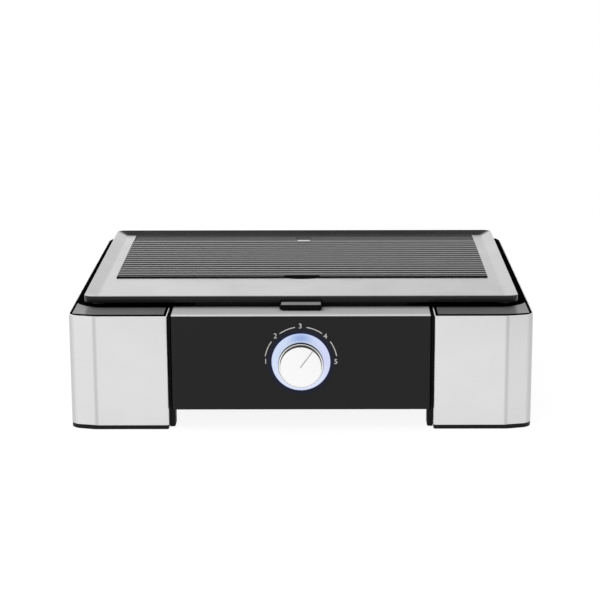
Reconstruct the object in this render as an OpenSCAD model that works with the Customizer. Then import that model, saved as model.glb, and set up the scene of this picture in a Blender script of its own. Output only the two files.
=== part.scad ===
// Table-top electric grill. A cast ribbed plate lies over a tubular heater between two
// steel-clad end blocks. The centre carries a lit control knob, and a shallow drip tray
// slides out under the front of the plate.
// X runs to the right, Y to the back and Z up. Every piece is drawn round the middle between
// the steel faces; placed() then moves it so that the origin lies on the table under the centre
// of the whole outline, knob included.

/* [Overall] */
// Width over the two steel end blocks
grill_w = 480; // [420:1:576]
// Depth from the steel front faces to the steel rear faces
grill_d = 400; // [350:1:480]
// Height of the top deck above the table
deck_h = 122; // [105:1:150]

/* [End blocks] */
// Width of one steel-clad end block
block_w = 102.6; // [86:0.1:123.2]
// Radius of the outer vertical corners
corner_r = 13.5; // [10:0.1:16]
// Distance from the side at which the flat front turns into a facet
facet_w = 25.5; // [20:0.5:34]
// Angle between the facet and the flat front
facet_angle = 14.5; // [10:0.5:24]
// Sheet thickness of the steel shells
steel_t = 1.2; // [0.8:0.1:1.6]
// Depth of the folded flanges beside the centre panels
return_d = 38; // [24:1:56]
// Outer radius of the fold beside the centre panels
bend_r = 2.5; // [1.8:0.1:4]
// Width of the dark groove between a steel shell and its end cap
groove_w = 1.5; // [1:0.1:2.4]
// Depth of that groove
groove_h = 2.5; // [1.5:0.1:4]
// How far the steel's upper edge lies below the deck
steel_drop = 0.7; // [0.3:0.1:1.5]
// Height of an end cap, with its flange
cap_h = 5; // [4:0.1:8]
// Wall thickness of the moulded end frames
frame_t = 2.8; // [2:0.1:4]
// Thickness of the bottom trims
trim_t = 4.2; // [2.5:0.1:6]
// How far the rubber feet stand below the trims
feet_proud = 0.5; // [0.5:0.1:3]
// Diameter of the rubber feet
foot_dia = 18; // [12:0.5:24]

/* [Centre] */
// Clear height of the arch under the centre
arch_h = 21.2; // [14:0.1:32]
// How far the centre panels lie behind the steel faces
panel_setback = 2; // [0.5:0.1:4]
// Wall thickness of the centre panels
panel_t = 2.5; // [2:0.1:4]
// Gap between a centre panel and the folded steel flange
panel_gap = 3; // [0.8:0.1:4]
// Depth of the top strip of the front panel
strip_d = 40; // [30:1:50]
// Radius of the top front edge of the centre panels
panel_edge_r = 1.2; // [1:0.1:3]
// Distance from the steel faces to the end walls of the centre tub
tub_setback = 10; // [8:0.5:14]
// Wall thickness of the centre tub
tub_t = 3; // [2:0.1:4]
// Thickness of the legs on both sides of the arch
leg_t = 6.1; // [5:0.1:9]
// Depth of one leg at the front and at the rear
leg_d = 14; // [8:0.5:30]
// Thickness of the bottom cover
cover_t = 2.5; // [2:0.1:4]
// Length of one vent slot in the bottom cover
vent_l = 30; // [16:1:40]
// Pitch of the vent slots
vent_pitch = 9; // [7:0.5:14]

/* [Grill plate] */
// Distance from the side of an end block to the side of the plate
plate_side = 13.6; // [8:0.1:20]
// Distance from the steel front to the front of the plate
plate_front = 33.5; // [20:0.5:45]
// Distance from the steel rear to the rear of the plate
plate_rear = 33.5; // [20:0.5:45]
// Height of the cooking surface above the deck at the plate's front
floor_rise = 9; // [8.5:0.1:14]
// Slope of the plate down to the front, in degrees
plate_slope = 0.45; // [0:0.05:1]
// Height of the rim above the cooking surface
rim_h = 4; // [2.5:0.1:7]
// Width of the slope inside the rim
rim_slope_w = 12.5; // [6:0.5:16]
// Width of the flat top of the rim
rim_top_w = 1.4; // [1:0.1:3]
// Height of the outer wall of the plate
skirt_h = 7.2; // [4:0.1:7.3]
// Thickness of the plate under its smooth surface
plate_t = 3.7; // [3.4:0.1:4]
// Corner radius of the plate, seen from above
plate_corner_r = 8; // [4:0.5:14]
// Depth of the smooth front zone, from the plate's edge to the ribs
smooth_d = 98.5; // [80:0.5:110]
// Depth of the plain part of the ribbed field, behind the last rib
tail_d = 29.6; // [24:0.1:50]
// Distance from the plate's side to the ends of the ribs
field_side = 23.4; // [18:0.1:32]
// Distance between two ribs
rib_pitch = 10.6; // [8:0.1:14]
// Height of the ribs above the ribbed field
rib_h = 2.8; // [1.5:0.1:4]
// Width of a rib at its foot
rib_foot_w = 5; // [3:0.1:6]
// Width of a rib at its top
rib_top_w = 2.2; // [1:0.1:3]
// How far the ribbed field lies below the smooth surface
field_sink = 1.2; // [0.6:0.1:1.4]
// Width of the drain opening
drain_w = 36.8; // [20:0.1:50]
// How far the drain opening bulges into the smooth zone
drain_bulge = 6.2; // [3:0.1:9]

/* [Heater] */
// Depth of the reflector pan below the deck
pan_depth = 34; // [28:1:44]
// Sheet thickness of the reflector pan
pan_t = 0.8; // [0.6:0.1:1.2]
// Distance from the ends of the ribs to the wall of the reflector pan
pan_side = 5; // [3:0.5:10]
// Diameter of the heating tube
tube_dia = 7.5; // [6:0.1:9]
// Depth of the heating tube's axis below the deck
tube_drop = 12; // [9:0.5:16]
// Distance from the pan's walls to the nearest run of the tube
tube_margin = 24; // [20:1:34]
// Distance from the centre to each end of the tube
tube_end_x = 30; // [22:1:44]

/* [Control] */
// Height of the knob's axis above the table
knob_z = 72.2; // [60:0.1:84]
// Outer diameter of the light ring
ring_dia = 60.4; // [50:0.1:70]
// Inner diameter of the light ring
ring_bore = 40; // [38:0.5:44]
// How far the light ring stands out of the front panel
ring_proud = 0.5; // [0.2:0.1:1.5]
// Diameter of the knob's skirt
skirt_dia = 46.6; // [42:0.1:52]
// Diameter of the knob's face
face_dia = 42.4; // [39:0.1:45]
// How far the knob stands out of the front panel
knob_proud = 20; // [16:0.5:26]
// Diameter of the control shaft
shaft_dia = 6; // [5:0.1:8]
// Radial running clearance of the control shaft
shaft_clear = 0.05; // [0.02:0.01:0.1]
// Number of lamps behind the light ring
lamp_count = 12; // [6:1:16]

/* [Drip tray] */
// Width of the drip tray
tray_w = 230; // [160:1:240]
// Height of the drip tray
tray_h = 4.4; // [3.5:0.1:4.5]
// Wall thickness of the drip tray
tray_t = 1.1; // [0.8:0.1:1.4]
// Sliding clearance under and beside the drip tray
tray_clear = 0.4; // [0.3:0.1:0.6]
// Width of the tray's grip
grip_w = 44.4; // [30:0.1:60]
// Height of the tray's grip
grip_h = 6; // [5:0.1:8]
// Depth of the tray's grip
grip_d = 12.2; // [8:0.1:13]

/* [Cord inlet] */
// Distance of the cord inlet to the left of the centre
gland_x = 70; // [40:1:95]
// Height of the cord inlet above the table
gland_z = 48; // [42:1:60]
// Bore for the mains cord
gland_bore = 8; // [6:0.1:10]

/* [Fits] */
// Gap between fixed pieces that are pushed into each other
fit = 0.2; // [0.1:0.05:0.3]
// Gap under a piece that rests on another
rest_gap = 0.3; // [0.2:0.1:0.5]
// Diameter of the screw shanks
screw_dia = 3.2; // [2.5:0.1:4]

/* [Hidden] */
$fn = 96;
cut = 1; // how far a cutting shape reaches past the face that it cuts

// Overall planes
origin_y = (knob_proud - panel_setback) / 2;
side_x = grill_w / 2;
end_y = grill_d / 2;
block_x = side_x - block_w; // inner face of an end block
steel_z = feet_proud + trim_t; // lower edge of the steel
steel_top = deck_h - steel_drop;
cap_z = deck_h - cap_h;

// Corner of an end block: the arc's centre lies this far from the steel face
corner_y = (corner_r + (facet_w - corner_r) * sin(facet_angle)) / cos(facet_angle);
arc_dip = 0.01; // how far the facet's end lies inside the corner's arc, so that the two cross

// Centre panels and tub
panel_x = block_x - panel_gap;
panel_y = end_y - panel_setback;
tub_x = block_x - fit;
tub_y = end_y - tub_setback;
cover_top = arch_h + cover_t;
deck_under = deck_h - panel_t;

// Grill plate, reflector pan and tray, front to back
plate_x = side_x - plate_side;
plate_y0 = -end_y + plate_front;
plate_y1 = end_y - plate_rear;
field_x = plate_x - field_side;
field_y0 = plate_y0 + smooth_d;
field_y1 = plate_y1 - rim_top_w - rim_slope_w;
ribs_y1 = field_y1 - tail_d;
pan_x = field_x - pan_side;
pan_flange = 7;
pan_y0 = field_y0 + 24;
pan_y1 = ribs_y1 + 18;
pan_corner_r = 14;
pan_z = deck_h - pan_depth;
tray_y0 = plate_y0 + 8;
tray_y1 = pan_y0 - pan_flange - 1.5;
rib_count = floor((ribs_y1 - field_y0 - rib_foot_w) / rib_pitch) + 1;

// Heating tube: four runs across the pan
tube_r = tube_dia / 2;
tube_z = deck_h - tube_drop;
run_y0 = pan_y0 + tube_margin;
run_pitch = (pan_y1 - pan_y0 - 2 * tube_margin) / 3;
run_x = pan_x - tube_margin + 4;
run_gap_x = 16;
tube_out_y = pan_y0 - 26; // where the tube ends in front of the pan
comb_x = run_x * 0.62;

// Knob, measured forward from the front panel's face
knob_back = ring_proud + 0.8;
stem_r = ring_bore / 2 - 1.5;
skirt_p0 = knob_proud - 11.4;
skirt_p1 = knob_proud - 6;
face_t = 0.9;
bezel_t = 0.6;
lamp_r = (ring_dia + ring_bore) / 4 + 0.5;
ring_flange_t = 1.6;
board_t = 1.6;
board_y = -tub_y - 1; // rear face of the lamp board
shaft_back_y = -tub_y + tub_t + 16;

// Positions of the plate's rests: x, y
rest_inset_x = 13;
rest_y_front = plate_y0 + 26;
rest_y_rear = plate_y1 - 20;
rest_r = 7;
rest_tip_r = 4;

// ---------------------------------------------------------------- shared shapes

// Moves a piece from the middle of the steel faces to the middle of the whole outline
module placed() {
    translate([0, origin_y, 0]) children();
}

// One child on the chosen side of the grill, drawn for the +X side
module on_side(s) {
    if (s > 0) children();
    else mirror([1, 0, 0]) children();
}

// Plan of the +X end block, inset by d from its outer faces and by di from its inner face
module end_plan(d, di) {
    r = corner_r - d;
    rb = max(bend_r - max(d, di), 0);
    xi = block_x + di;
    ye = end_y - d;
    cx = side_x - corner_r;
    cy = end_y - corner_y;
    xv = side_x - facet_w - d * tan(facet_angle / 2);
    tx = cx + (r - arc_dip) * sin(facet_angle);
    ty = cy + (r - arc_dip) * cos(facet_angle);
    polygon([[xi, -ye + rb], [xi + rb, -ye], [xv, -ye], [tx, -ty], [cx + r, -cy],
        [cx + r, cy], [tx, ty], [xv, ye], [xi + rb, ye], [xi, ye - rb]]);
    for (s = [-1, 1]) {
        translate([cx, s * cy]) circle(r);
        if (rb > 0) translate([xi + rb, s * (ye - rb)]) circle(rb);
    }
}

// Rectangle with round corners, given by its half sizes
module round_rect(hx, hy, r) {
    union() {
        square([2 * hx, 2 * (hy - r)], center = true);
        square([2 * (hx - r), 2 * hy], center = true);
        for (x = [-1, 1], y = [-1, 1]) translate([x * (hx - r), y * (hy - r)]) circle(r);
    }
}

// Round rectangle between two corners, standing between two heights
module round_slab(x0, x1, y0, y1, z0, z1, r) {
    translate([(x0 + x1) / 2, (y0 + y1) / 2, z0])
        linear_extrude(z1 - z0) round_rect((x1 - x0) / 2, (y1 - y0) / 2, r);
}

// Plain block between two corners
module block(p, q) {
    translate(p) cube(q - p);
}

// Cylinder along Y, from y0 to y1, at the knob's axis or at x, z
module y_rod(r, y0, y1, x = 0, z = knob_z) {
    translate([x, y0, z]) rotate([-90, 0, 0]) cylinder(r = r, h = y1 - y0);
}

// Profile of radius against distance forward of the front panel, turned about the knob's axis
module knob_turned() {
    translate([0, -panel_y, knob_z]) rotate([90, 0, 0]) rotate_extrude() children();
}

// Tube along points joined by right angles, with round bends
module bent_tube(pts, r, bend) {
    n = len(pts);
    for (i = [0:n - 2]) {
        d = (pts[i + 1] - pts[i]) / norm(pts[i + 1] - pts[i]);
        a = pts[i] + d * (i == 0 ? 0 : bend);
        b = pts[i + 1] - d * (i == n - 2 ? 0 : bend);
        if (norm(b - a) > 0.01) along(a, d) cylinder(r = r, h = norm(b - a));
    }
    for (i = [1:n - 2]) {
        d1 = (pts[i] - pts[i - 1]) / norm(pts[i] - pts[i - 1]);
        d2 = (pts[i + 1] - pts[i]) / norm(pts[i + 1] - pts[i]);
        c = pts[i] - bend * d1 + bend * d2;
        ex = -d2;
        ey = d1;
        ez = cross(ex, ey);
        multmatrix([[ex.x, ey.x, ez.x, c.x], [ex.y, ey.y, ez.y, c.y], [ex.z, ey.z, ez.z, c.z]])
            rotate_extrude(angle = 90) translate([bend, 0]) circle(r, $fn = 48);
    }
}

// Children's Z axis turned to the direction d, which lies along X, Y or Z, and moved to p
module along(p, d) {
    u = abs(d.z) > 0.5 ? [1, 0, 0] : [0, 0, 1];
    v = cross(d, u);
    multmatrix([[u.x, v.x, d.x, p.x], [u.y, v.y, d.y, p.y], [u.z, v.z, d.z, p.z]]) children();
}

// Screw pointing up: round head from z0, shank above it
module screw_up(x, y, z0, length) {
    translate([x, y, z0]) {
        cylinder(r = screw_dia, h = 2);
        cylinder(r = screw_dia / 2, h = length);
    }
}

// ---------------------------------------------------------------- end blocks

module steel_shell(s) {
    on_side(s) placed() color([0.78, 0.78, 0.79]) difference() {
        translate([0, 0, steel_z]) linear_extrude(steel_top - steel_z) difference() {
            end_plan(0, 0);
            end_plan(steel_t, steel_t);
        }
        block([block_x - cut, -end_y + return_d, 0], [block_x + steel_t + cut, end_y - return_d, deck_h]);
    }
}

frame_inset = steel_t + fit;
boss_r = 4.5;
// Trim screw positions in an end block: x, y
trim_screw_pts = [
    [block_x + frame_inset + frame_t + 3, -end_y + 34], [block_x + frame_inset + frame_t + 3, end_y - 34],
    [side_x - frame_inset - frame_t - 3, 0]];

module end_frame(s) {
    on_side(s) placed() color([0.12, 0.12, 0.13]) difference() {
        union() {
            translate([0, 0, steel_z]) linear_extrude(cap_z - steel_z) difference() {
                end_plan(frame_inset, frame_inset);
                end_plan(frame_inset + frame_t, frame_inset + frame_t);
            }
            for (p = trim_screw_pts) translate([p.x, p.y, steel_z]) cylinder(r = boss_r, h = 28);
        }
        // the inner wall stops below the reflector pan
        block([block_x, pan_y0 - pan_flange, pan_z - 3],
            [block_x + frame_inset + frame_t + cut, pan_y1 + pan_flange, deck_h]);
        for (p = trim_screw_pts)
            translate([p.x, p.y, steel_z - cut]) cylinder(r = screw_dia / 2 + 0.05, h = 20);
    }
}

module end_cap(s) {
    on_side(s) placed() color([0.2, 0.2, 0.21]) difference() {
        union() {
            translate([0, 0, cap_z]) linear_extrude(cap_h)
                end_plan(steel_t + groove_w, steel_t + groove_w);
            translate([0, 0, cap_z]) linear_extrude(cap_h - groove_h)
                end_plan(frame_inset, frame_inset);
        }
        // underside hollow, leaving the top and a rim
        translate([0, 0, cap_z - cut]) linear_extrude(cap_h - groove_h + cut)
            end_plan(frame_inset + frame_t, frame_inset + frame_t);
        // opening of the reflector pan
        round_slab(-pan_x - 1, pan_x + 1, pan_y0 - 1, pan_y1 + 1, cap_z - cut, deck_h + cut, pan_corner_r);
        block([block_x - cut, pan_y0 - 1, cap_z - cut], [block_x + 20, pan_y1 + 1, deck_h + cut]);
        for (y = [rest_y_front, rest_y_rear])
            translate([plate_x - rest_inset_x, y, deck_h - 1]) cylinder(r = rest_r + 0.1, h = cut + 1);
        for (y = [pan_y0 + 40, pan_y1 - 40])
            translate([pan_x + pan_flange / 2 + 0.5, y, cap_z - cut])
                cylinder(r = screw_dia / 2 + 0.05, h = cap_h + 2 * cut);
    }
}

trim_lip_h = 6;
foot_x = side_x - 34;
foot_y = end_y - 40;

module bottom_trim(s) {
    on_side(s) placed() color([0.07, 0.07, 0.07]) difference() {
        union() {
            translate([0, 0, feet_proud]) linear_extrude(trim_t) end_plan(0.3, 0.3);
            translate([0, 0, feet_proud]) linear_extrude(trim_t + trim_lip_h) difference() {
                end_plan(frame_inset + frame_t + fit, frame_inset + frame_t + fit);
                end_plan(frame_inset + frame_t + fit + 2, frame_inset + frame_t + fit + 2);
            }
        }
        for (y = [-foot_y, foot_y])
            translate([foot_x, y, feet_proud - cut]) cylinder(r = foot_dia / 2 + 0.1, h = 1.8 + cut);
        for (p = trim_screw_pts) {
            translate([p.x, p.y, feet_proud - cut]) cylinder(r = screw_dia / 2 + 0.1, h = trim_t + 2 * cut);
            translate([p.x, p.y, feet_proud - cut]) cylinder(r = screw_dia + 0.3, h = 2 + cut);
            translate([p.x, p.y, feet_proud + trim_t]) cylinder(r = boss_r + 0.3, h = trim_lip_h + cut);
        }
        // air slots under the block
        for (i = [-3:3]) round_slab(block_x + 30, side_x - 30, i * 12 - 2, i * 12 + 2,
            feet_proud - cut, feet_proud + trim_t + cut, 1.9);
    }
}

module rubber_feet() {
    placed() color([0.15, 0.15, 0.15]) for (x = [-foot_x, foot_x], y = [-foot_y, foot_y])
        translate([x, y, 0]) rotate_extrude()
            polygon([[0, 0], [foot_dia / 2 - 1, 0], [foot_dia / 2, 1], [foot_dia / 2, feet_proud + 1.8],
                [0, feet_proud + 1.8]]);
}

// ---------------------------------------------------------------- centre housing

cover_screw_pts = [for (x = [-1, 1], y = [-1, 0, 1])
    [x * (tub_x - leg_t - 8), y * (tub_y - tub_t - 8)]];

// Section of the right leg: distance from the centre, height
module leg_profile() {
    r = 2;
    polygon([[tub_x, feet_proud], [tub_x - leg_t + r, feet_proud], [tub_x - leg_t, feet_proud + r],
        [tub_x - leg_t, arch_h + 1], [tub_x, arch_h + 1]]);
    translate([tub_x - leg_t + r, feet_proud + r]) circle(r);
}

module centre_tub() {
    placed() color([0.1, 0.1, 0.1]) difference() {
        union() {
            for (s = [1, -1]) on_side(s) {
                for (y = [-tub_y + leg_d, tub_y]) translate([0, y, 0]) rotate([90, 0, 0])
                    linear_extrude(leg_d) leg_profile();
                // ledge beside the bottom cover
                block([tub_x - leg_t, -tub_y, arch_h], [tub_x, tub_y, cover_top + 4]);
                // side wall: full height in front and behind, low beside the reflector pan
                block([tub_x - tub_t, -tub_y, cover_top], [tub_x, pan_y0 - 1, deck_under]);
                block([tub_x - tub_t, -tub_y, cover_top], [tub_x, tub_y, pan_z - 3]);
                block([tub_x - tub_t, pan_y1 + 1, cover_top], [tub_x, tub_y, deck_under]);
            }
            for (s = [-1, 1])
                block([-tub_x, s > 0 ? tub_y - tub_t : -tub_y, cover_top],
                    [tub_x, s > 0 ? tub_y : -tub_y + tub_t, deck_under]);
            // bulkhead in front of the reflector pan
            block([-tub_x, pan_y0 - 1 - tub_t, cover_top], [tub_x, pan_y0 - 1, deck_under]);
            for (p = cover_screw_pts) translate([p.x, p.y, cover_top]) cylinder(r = boss_r, h = 14);
            // webs that tie the screw posts to the side walls
            for (p = cover_screw_pts, s = [p.x > 0 ? 1 : -1])
                block([s > 0 ? p.x : -tub_x, p.y - 1.2, cover_top], [s > 0 ? tub_x : p.x, p.y + 1.2, cover_top + 14]);
            for (a = [90, 210, 330])
                y_rod(2.6, board_y + fit, -tub_y + 1, (lamp_r + 1) * cos(a), knob_z + (lamp_r + 1) * sin(a));
        }
        for (p = cover_screw_pts)
            translate([p.x, p.y, cover_top - cut]) cylinder(r = screw_dia / 2 + 0.05, h = 11);
        y_rod(5.2, -tub_y - cut, -tub_y + tub_t + cut);
        for (s = [-1, 1])
            y_rod(2.15, -tub_y - cut, -tub_y + tub_t + cut, s * thermostat_screw_x);
        // slots for the two ends of the heating tube and for the sensor's capillary
        for (x = [-tube_end_x, tube_end_x])
            block([x - 8, pan_y0 - 2 - tub_t, tube_z - 10], [x + 8, pan_y0, deck_h]);
        block([sensor_x - 4, pan_y0 - 2 - tub_t, tube_z - 10], [sensor_x + 4, pan_y0, deck_h]);
        y_rod(gland_r + 0.1, tub_y - tub_t - cut, tub_y + cut, -gland_x, gland_z);
        // openings at the foot of the bulkhead, where the wires and the air pass
        for (x = [-78, -20, 38])
            block([x - 20, pan_y0 - 2 - tub_t, cover_top - cut], [x + 20, pan_y0, cover_top + 22]);
    }
}

module bottom_cover() {
    hx = tub_x - leg_t - 0.3;
    vents = floor((hx - 30) / vent_pitch);
    placed() color([0.13, 0.13, 0.14]) difference() {
        round_slab(-hx, hx, -tub_y, tub_y, arch_h, cover_top, 3);
        for (p = cover_screw_pts) {
            translate([p.x, p.y, arch_h - cut]) cylinder(r = screw_dia / 2 + 0.1, h = cover_t + 2 * cut);
            translate([p.x, p.y, arch_h - cut]) cylinder(r = screw_dia + 0.3, h = 1 + cut);
        }
        for (i = [-vents:vents], y = [-end_y * 0.3, end_y * 0.3])
            if (abs(i) > 1) round_slab(i * vent_pitch - 1.6, i * vent_pitch + 1.6, y - vent_l / 2,
                y + vent_l / 2, arch_h - cut, cover_top + cut, 1.5);
    }
}

// Section of a centre panel, seen from its right: distance inward from its face, height
module panel_profile(strip_end) {
    r = panel_edge_r;
    difference() {
        union() {
            polygon([[0, arch_h], [0, deck_h - r], [r, deck_h], [strip_end, deck_h],
                [strip_end, deck_under], [panel_t, deck_under], [panel_t, arch_h]]);
            translate([r, deck_h - r]) circle(r);
        }
        translate([panel_t, deck_under - 2 * r]) square([2 * r, 2 * r]);
    }
}

// Front or rear cover of the centre, drawn as the front one
module centre_cover(strip_end) {
    lip_y = tub_setback - panel_setback - fit;
    translate([0, -panel_y, 0]) {
        rotate([90, 0, 90]) translate([0, 0, -panel_x]) linear_extrude(2 * panel_x) panel_profile(strip_end);
        // folded-back edges at the sides and the bottom
        for (x = [-panel_x, panel_x - 2]) block([x, panel_t / 2, arch_h], [x + 2, lip_y, deck_under + 1]);
        block([-panel_x, panel_t / 2, arch_h], [panel_x, lip_y, arch_h + 2]);
    }
}

module front_panel() {
    placed() color([0.1, 0.1, 0.1]) difference() {
        centre_cover(strip_d - panel_setback);
        y_rod(ring_dia / 2 + 0.15, -panel_y - cut, -panel_y + panel_t + cut);
    }
}

module rear_panel() {
    placed() color([0.1, 0.1, 0.1]) difference() {
        mirror([0, 1, 0]) centre_cover(panel_y - pan_y1 - 1);
        y_rod(gland_r + 0.1, panel_y - panel_t - cut, panel_y + cut, -gland_x, gland_z);
    }
}

module tray_shelf() {
    y0 = -end_y + strip_d + fit;
    placed() color([0.12, 0.12, 0.12]) {
        block([-panel_x, y0, deck_under], [panel_x, pan_y0 - 1, deck_h]);
        for (x = [-0.45, 0.45])
            block([x * panel_x - 1, y0 + 4, deck_under - 5], [x * panel_x + 1, pan_y0 - 2 - tub_t, deck_under]);
    }
}

module tray_guides() {
    x0 = tray_w / 2 + tray_clear;
    placed() color([0.2, 0.2, 0.2]) for (s = [1, -1]) on_side(s)
        difference() {
            block([x0, tray_y0 + 6, deck_h], [x0 + 7, tray_y1 - 4, deck_h + tray_h - 0.4]);
            block([x0 + 1.6, tray_y0, deck_h + 1], [x0 + 8, tray_y1, deck_h + tray_h]);
        }
}

// ---------------------------------------------------------------- heater

module reflector_pan() {
    z1 = deck_h + pan_t;
    placed() color([0.7, 0.7, 0.7]) difference() {
        union() {
            round_slab(-pan_x, pan_x, pan_y0, pan_y1, pan_z, deck_h, pan_corner_r);
            round_slab(-pan_x - pan_flange, pan_x + pan_flange, pan_y0 - pan_flange, pan_y1 + pan_flange,
                deck_h, z1, pan_corner_r);
        }
        difference() {
            round_slab(-pan_x + pan_t, pan_x - pan_t, pan_y0 + pan_t, pan_y1 - pan_t, pan_z + pan_t, z1 + cut,
                pan_corner_r - pan_t);
            // two stiffening beads pressed up from the floor
            for (y = [run_y0 + run_pitch / 2, run_y0 + 2.5 * run_pitch])
                translate([-pan_x + 30, y, pan_z + pan_t]) rotate([0, 90, 0]) cylinder(r = 2, h = 2 * pan_x - 60);
        }
        for (x = [-tube_end_x, tube_end_x]) y_rod(tube_r + 0.3, pan_y0 - cut, pan_y0 + 2, x, tube_z);
        y_rod(1.3, pan_y0 - cut, pan_y0 + 2, sensor_x, sensor_z);
        for (s = [-1, 1], y = [pan_y0 + 40, pan_y1 - 40])
            translate([s * (pan_x + pan_flange / 2 + 0.5), y, deck_h - cut])
                cylinder(r = screw_dia / 2 + 0.1, h = 3);
    }
}

bend_thin = 0.02; // how much the bends of the tube are drawn in
bend_lap = 0.2; // how far a straight run reaches into a bend
lead_bend = 12; // radius of the bend between the first run and the lead through the pan's wall

// Bend of the heating tube round x, y that spans the angle a, from the angle a0 on
module tube_bend(x, y, r, a0, a) {
    translate([x, y, tube_z]) rotate([0, 0, a0]) rotate_extrude(angle = a)
        translate([r, 0]) circle(tube_r - bend_thin);
}

module heating_element() {
    y = [for (i = [0:3]) run_y0 + i * run_pitch];
    u = run_pitch / 2;
    out_x = run_x - u;
    lead_x = tube_end_x + lead_bend;
    start_x = [lead_x, run_gap_x + u, run_gap_x + u, 0];
    placed() color([0.25, 0.22, 0.2]) union() for (s = [1, -1]) {
        for (i = [0:3]) translate([s * (start_x[i] - bend_lap), y[i], tube_z]) rotate([0, s * 90, 0])
            cylinder(r = tube_r, h = out_x - start_x[i] + 2 * bend_lap);
        for (i = [0, 2]) tube_bend(s * out_x, y[i] + u, u, -s * 90, 180);
        tube_bend(s * start_x[1], y[1] + u, u, s * 90, 180);
        tube_bend(s * lead_x, y[0] - lead_bend, lead_bend, s > 0 ? 90 : 0, 90);
        y_rod(tube_r, tube_out_y, y[0] - lead_bend + bend_lap, s * tube_end_x, tube_z);
    }
}

module element_brackets() {
    z0 = pan_z + pan_t;
    placed() color([0.6, 0.6, 0.6]) for (x = [-comb_x, comb_x]) difference() {
        union() {
            block([x - 0.75, run_y0 - 9, z0], [x + 0.75, run_y0 + 3 * run_pitch + 9, tube_z + 2]);
            block([x - 0.75, run_y0 - 9, z0], [x + 9, run_y0 + 3 * run_pitch + 9, z0 + 1]);
        }
        for (i = [0:3]) translate([x - 5, run_y0 + i * run_pitch, tube_z]) rotate([0, 90, 0]) {
            cylinder(r = tube_r + 0.1, h = 10);
            translate([-8, -tube_r - 0.1, 0]) cube([8, tube_dia + 0.2, 10]);
        }
        // the beads of the pan pass under the brackets
        for (i = [0.5, 2.5]) translate([x - 5, run_y0 + i * run_pitch, z0]) rotate([0, 90, 0])
            cylinder(r = 2.3, h = 20);
    }
}

module element_bushes() {
    placed() color([0.85, 0.84, 0.8]) for (x = [-tube_end_x, tube_end_x]) difference() {
        union() {
            y_rod(7, pan_y0 - 4, pan_y0, x, tube_z);
            y_rod(5.5, pan_y0 - 9, pan_y0, x, tube_z);
        }
        y_rod(tube_r + 0.05, pan_y0 - 10, pan_y0 + cut, x, tube_z);
    }
}

terminal_pin_y = tube_out_y - 20;

module element_terminals() {
    placed() color([0.88, 0.87, 0.83]) for (x = [-tube_end_x, tube_end_x]) union() {
        y_rod(5, tube_out_y - 10, tube_out_y, x, tube_z);
        y_rod(1.6, terminal_pin_y, tube_out_y, x, tube_z);
        y_rod(3.2, terminal_pin_y + 3, terminal_pin_y + 6, x, tube_z);
    }
}

// ---------------------------------------------------------------- plate and its rests

// Height of the plate's underside above the table at y
function under_z(y) = deck_h + floor_rise - plate_t + (y - plate_y0) * tan(plate_slope);

module plate_rests() {
    placed() color([0.3, 0.3, 0.3]) for (s = [1, -1], y = [rest_y_front, rest_y_rear]) on_side(s)
        translate([plate_x - rest_inset_x, y, deck_h - 1]) {
            cylinder(r = rest_r, h = under_z(y - rest_r) - rest_gap - deck_h + 1);
            cylinder(r = rest_tip_r, h = under_z(y) + 0.9 - deck_h + 1);
        }
}

// Section of a rib, seen from its end: Y, Z
module rib_profile() {
    w = rib_foot_w / 2;
    v = rib_top_w / 2;
    z = rib_h - field_sink;
    polygon([[-w, -field_sink - 0.2], [w, -field_sink - 0.2], [w, -field_sink], [v, z - 0.5], [v - 0.5, z],
        [0.5 - v, z], [-v, z - 0.5], [-w, -field_sink]]);
}

rib_end_lap = 0.3; // how far the ribs run into the sides of the field
pad_x = 9.5; // half width of the recess for the bare pad behind the ribs
pad_y0 = ribs_y1 - 9 - plate_y0;
pad_y1 = field_y1 - plate_y0 - 4;

// The plate lying level, with its front edge at y = 0 and its cooking surface at z = 0
module level_plate() {
    w = plate_y1 - plate_y0;
    fy0 = field_y0 - plate_y0;
    fy1 = field_y1 - plate_y0;
    drain_r = (pow(drain_w / 2, 2) + pow(drain_bulge, 2)) / (2 * drain_bulge);
    crest_in = rim_top_w + rim_slope_w;
    difference() {
        union() {
            round_slab(-plate_x, plate_x, 0, w, rim_h - skirt_h, rim_h, plate_corner_r);
            round_slab(-plate_x + 7, plate_x - 7, 7, w - 7, -plate_t, rim_h - skirt_h, 6);
        }
        // shallow basin inside the sloping rim
        translate([0, w / 2, 0]) hull() {
            linear_extrude(0.01) round_rect(plate_x - crest_in, w / 2 - crest_in, 6, $fn = 32);
            translate([0, 0, rim_h]) linear_extrude(0.5)
                round_rect(plate_x - rim_top_w, w / 2 - rim_top_w, plate_corner_r, $fn = 32);
        }
        // field of the ribs, sunk below the smooth surface
        round_slab(-field_x, field_x, fy0, fy1, -field_sink, cut, 3);
        // drain opening at the front of the ribs
        intersection() {
            translate([0, fy0 + drain_r - drain_bulge, -plate_t - cut])
                cylinder(r = drain_r, h = plate_t + 2 * cut);
            block([-drain_w / 2, fy0 - drain_bulge - cut, -plate_t - cut], [drain_w / 2, fy0 + 2.6, cut]);
        }
        round_slab(-pad_x, pad_x, pad_y0, pad_y1, -field_sink - 0.8, rib_h, 5);
    }
    // ribs stand above the smooth surface
    difference() {
        for (i = [0:rib_count - 1]) {
            y = fy0 + rib_foot_w / 2 + i * rib_pitch;
            translate([-field_x - rib_end_lap, y, 0]) rotate([90, 0, 90])
                linear_extrude(2 * (field_x + rib_end_lap)) rib_profile();
        }
        round_slab(-pad_x, pad_x, pad_y0, pad_y1, -plate_t, rib_h, 5);
        block([-drain_w / 2, fy0 - cut, -plate_t - cut], [drain_w / 2, fy0 + 2.6, rib_h]);
    }
    // the bare pad in its recess
    round_slab(-pad_x + 1.9, pad_x - 1.9, pad_y0 + 2.5, pad_y0 + 11, -field_sink - 1, 0.4, 1.5);
}

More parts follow.
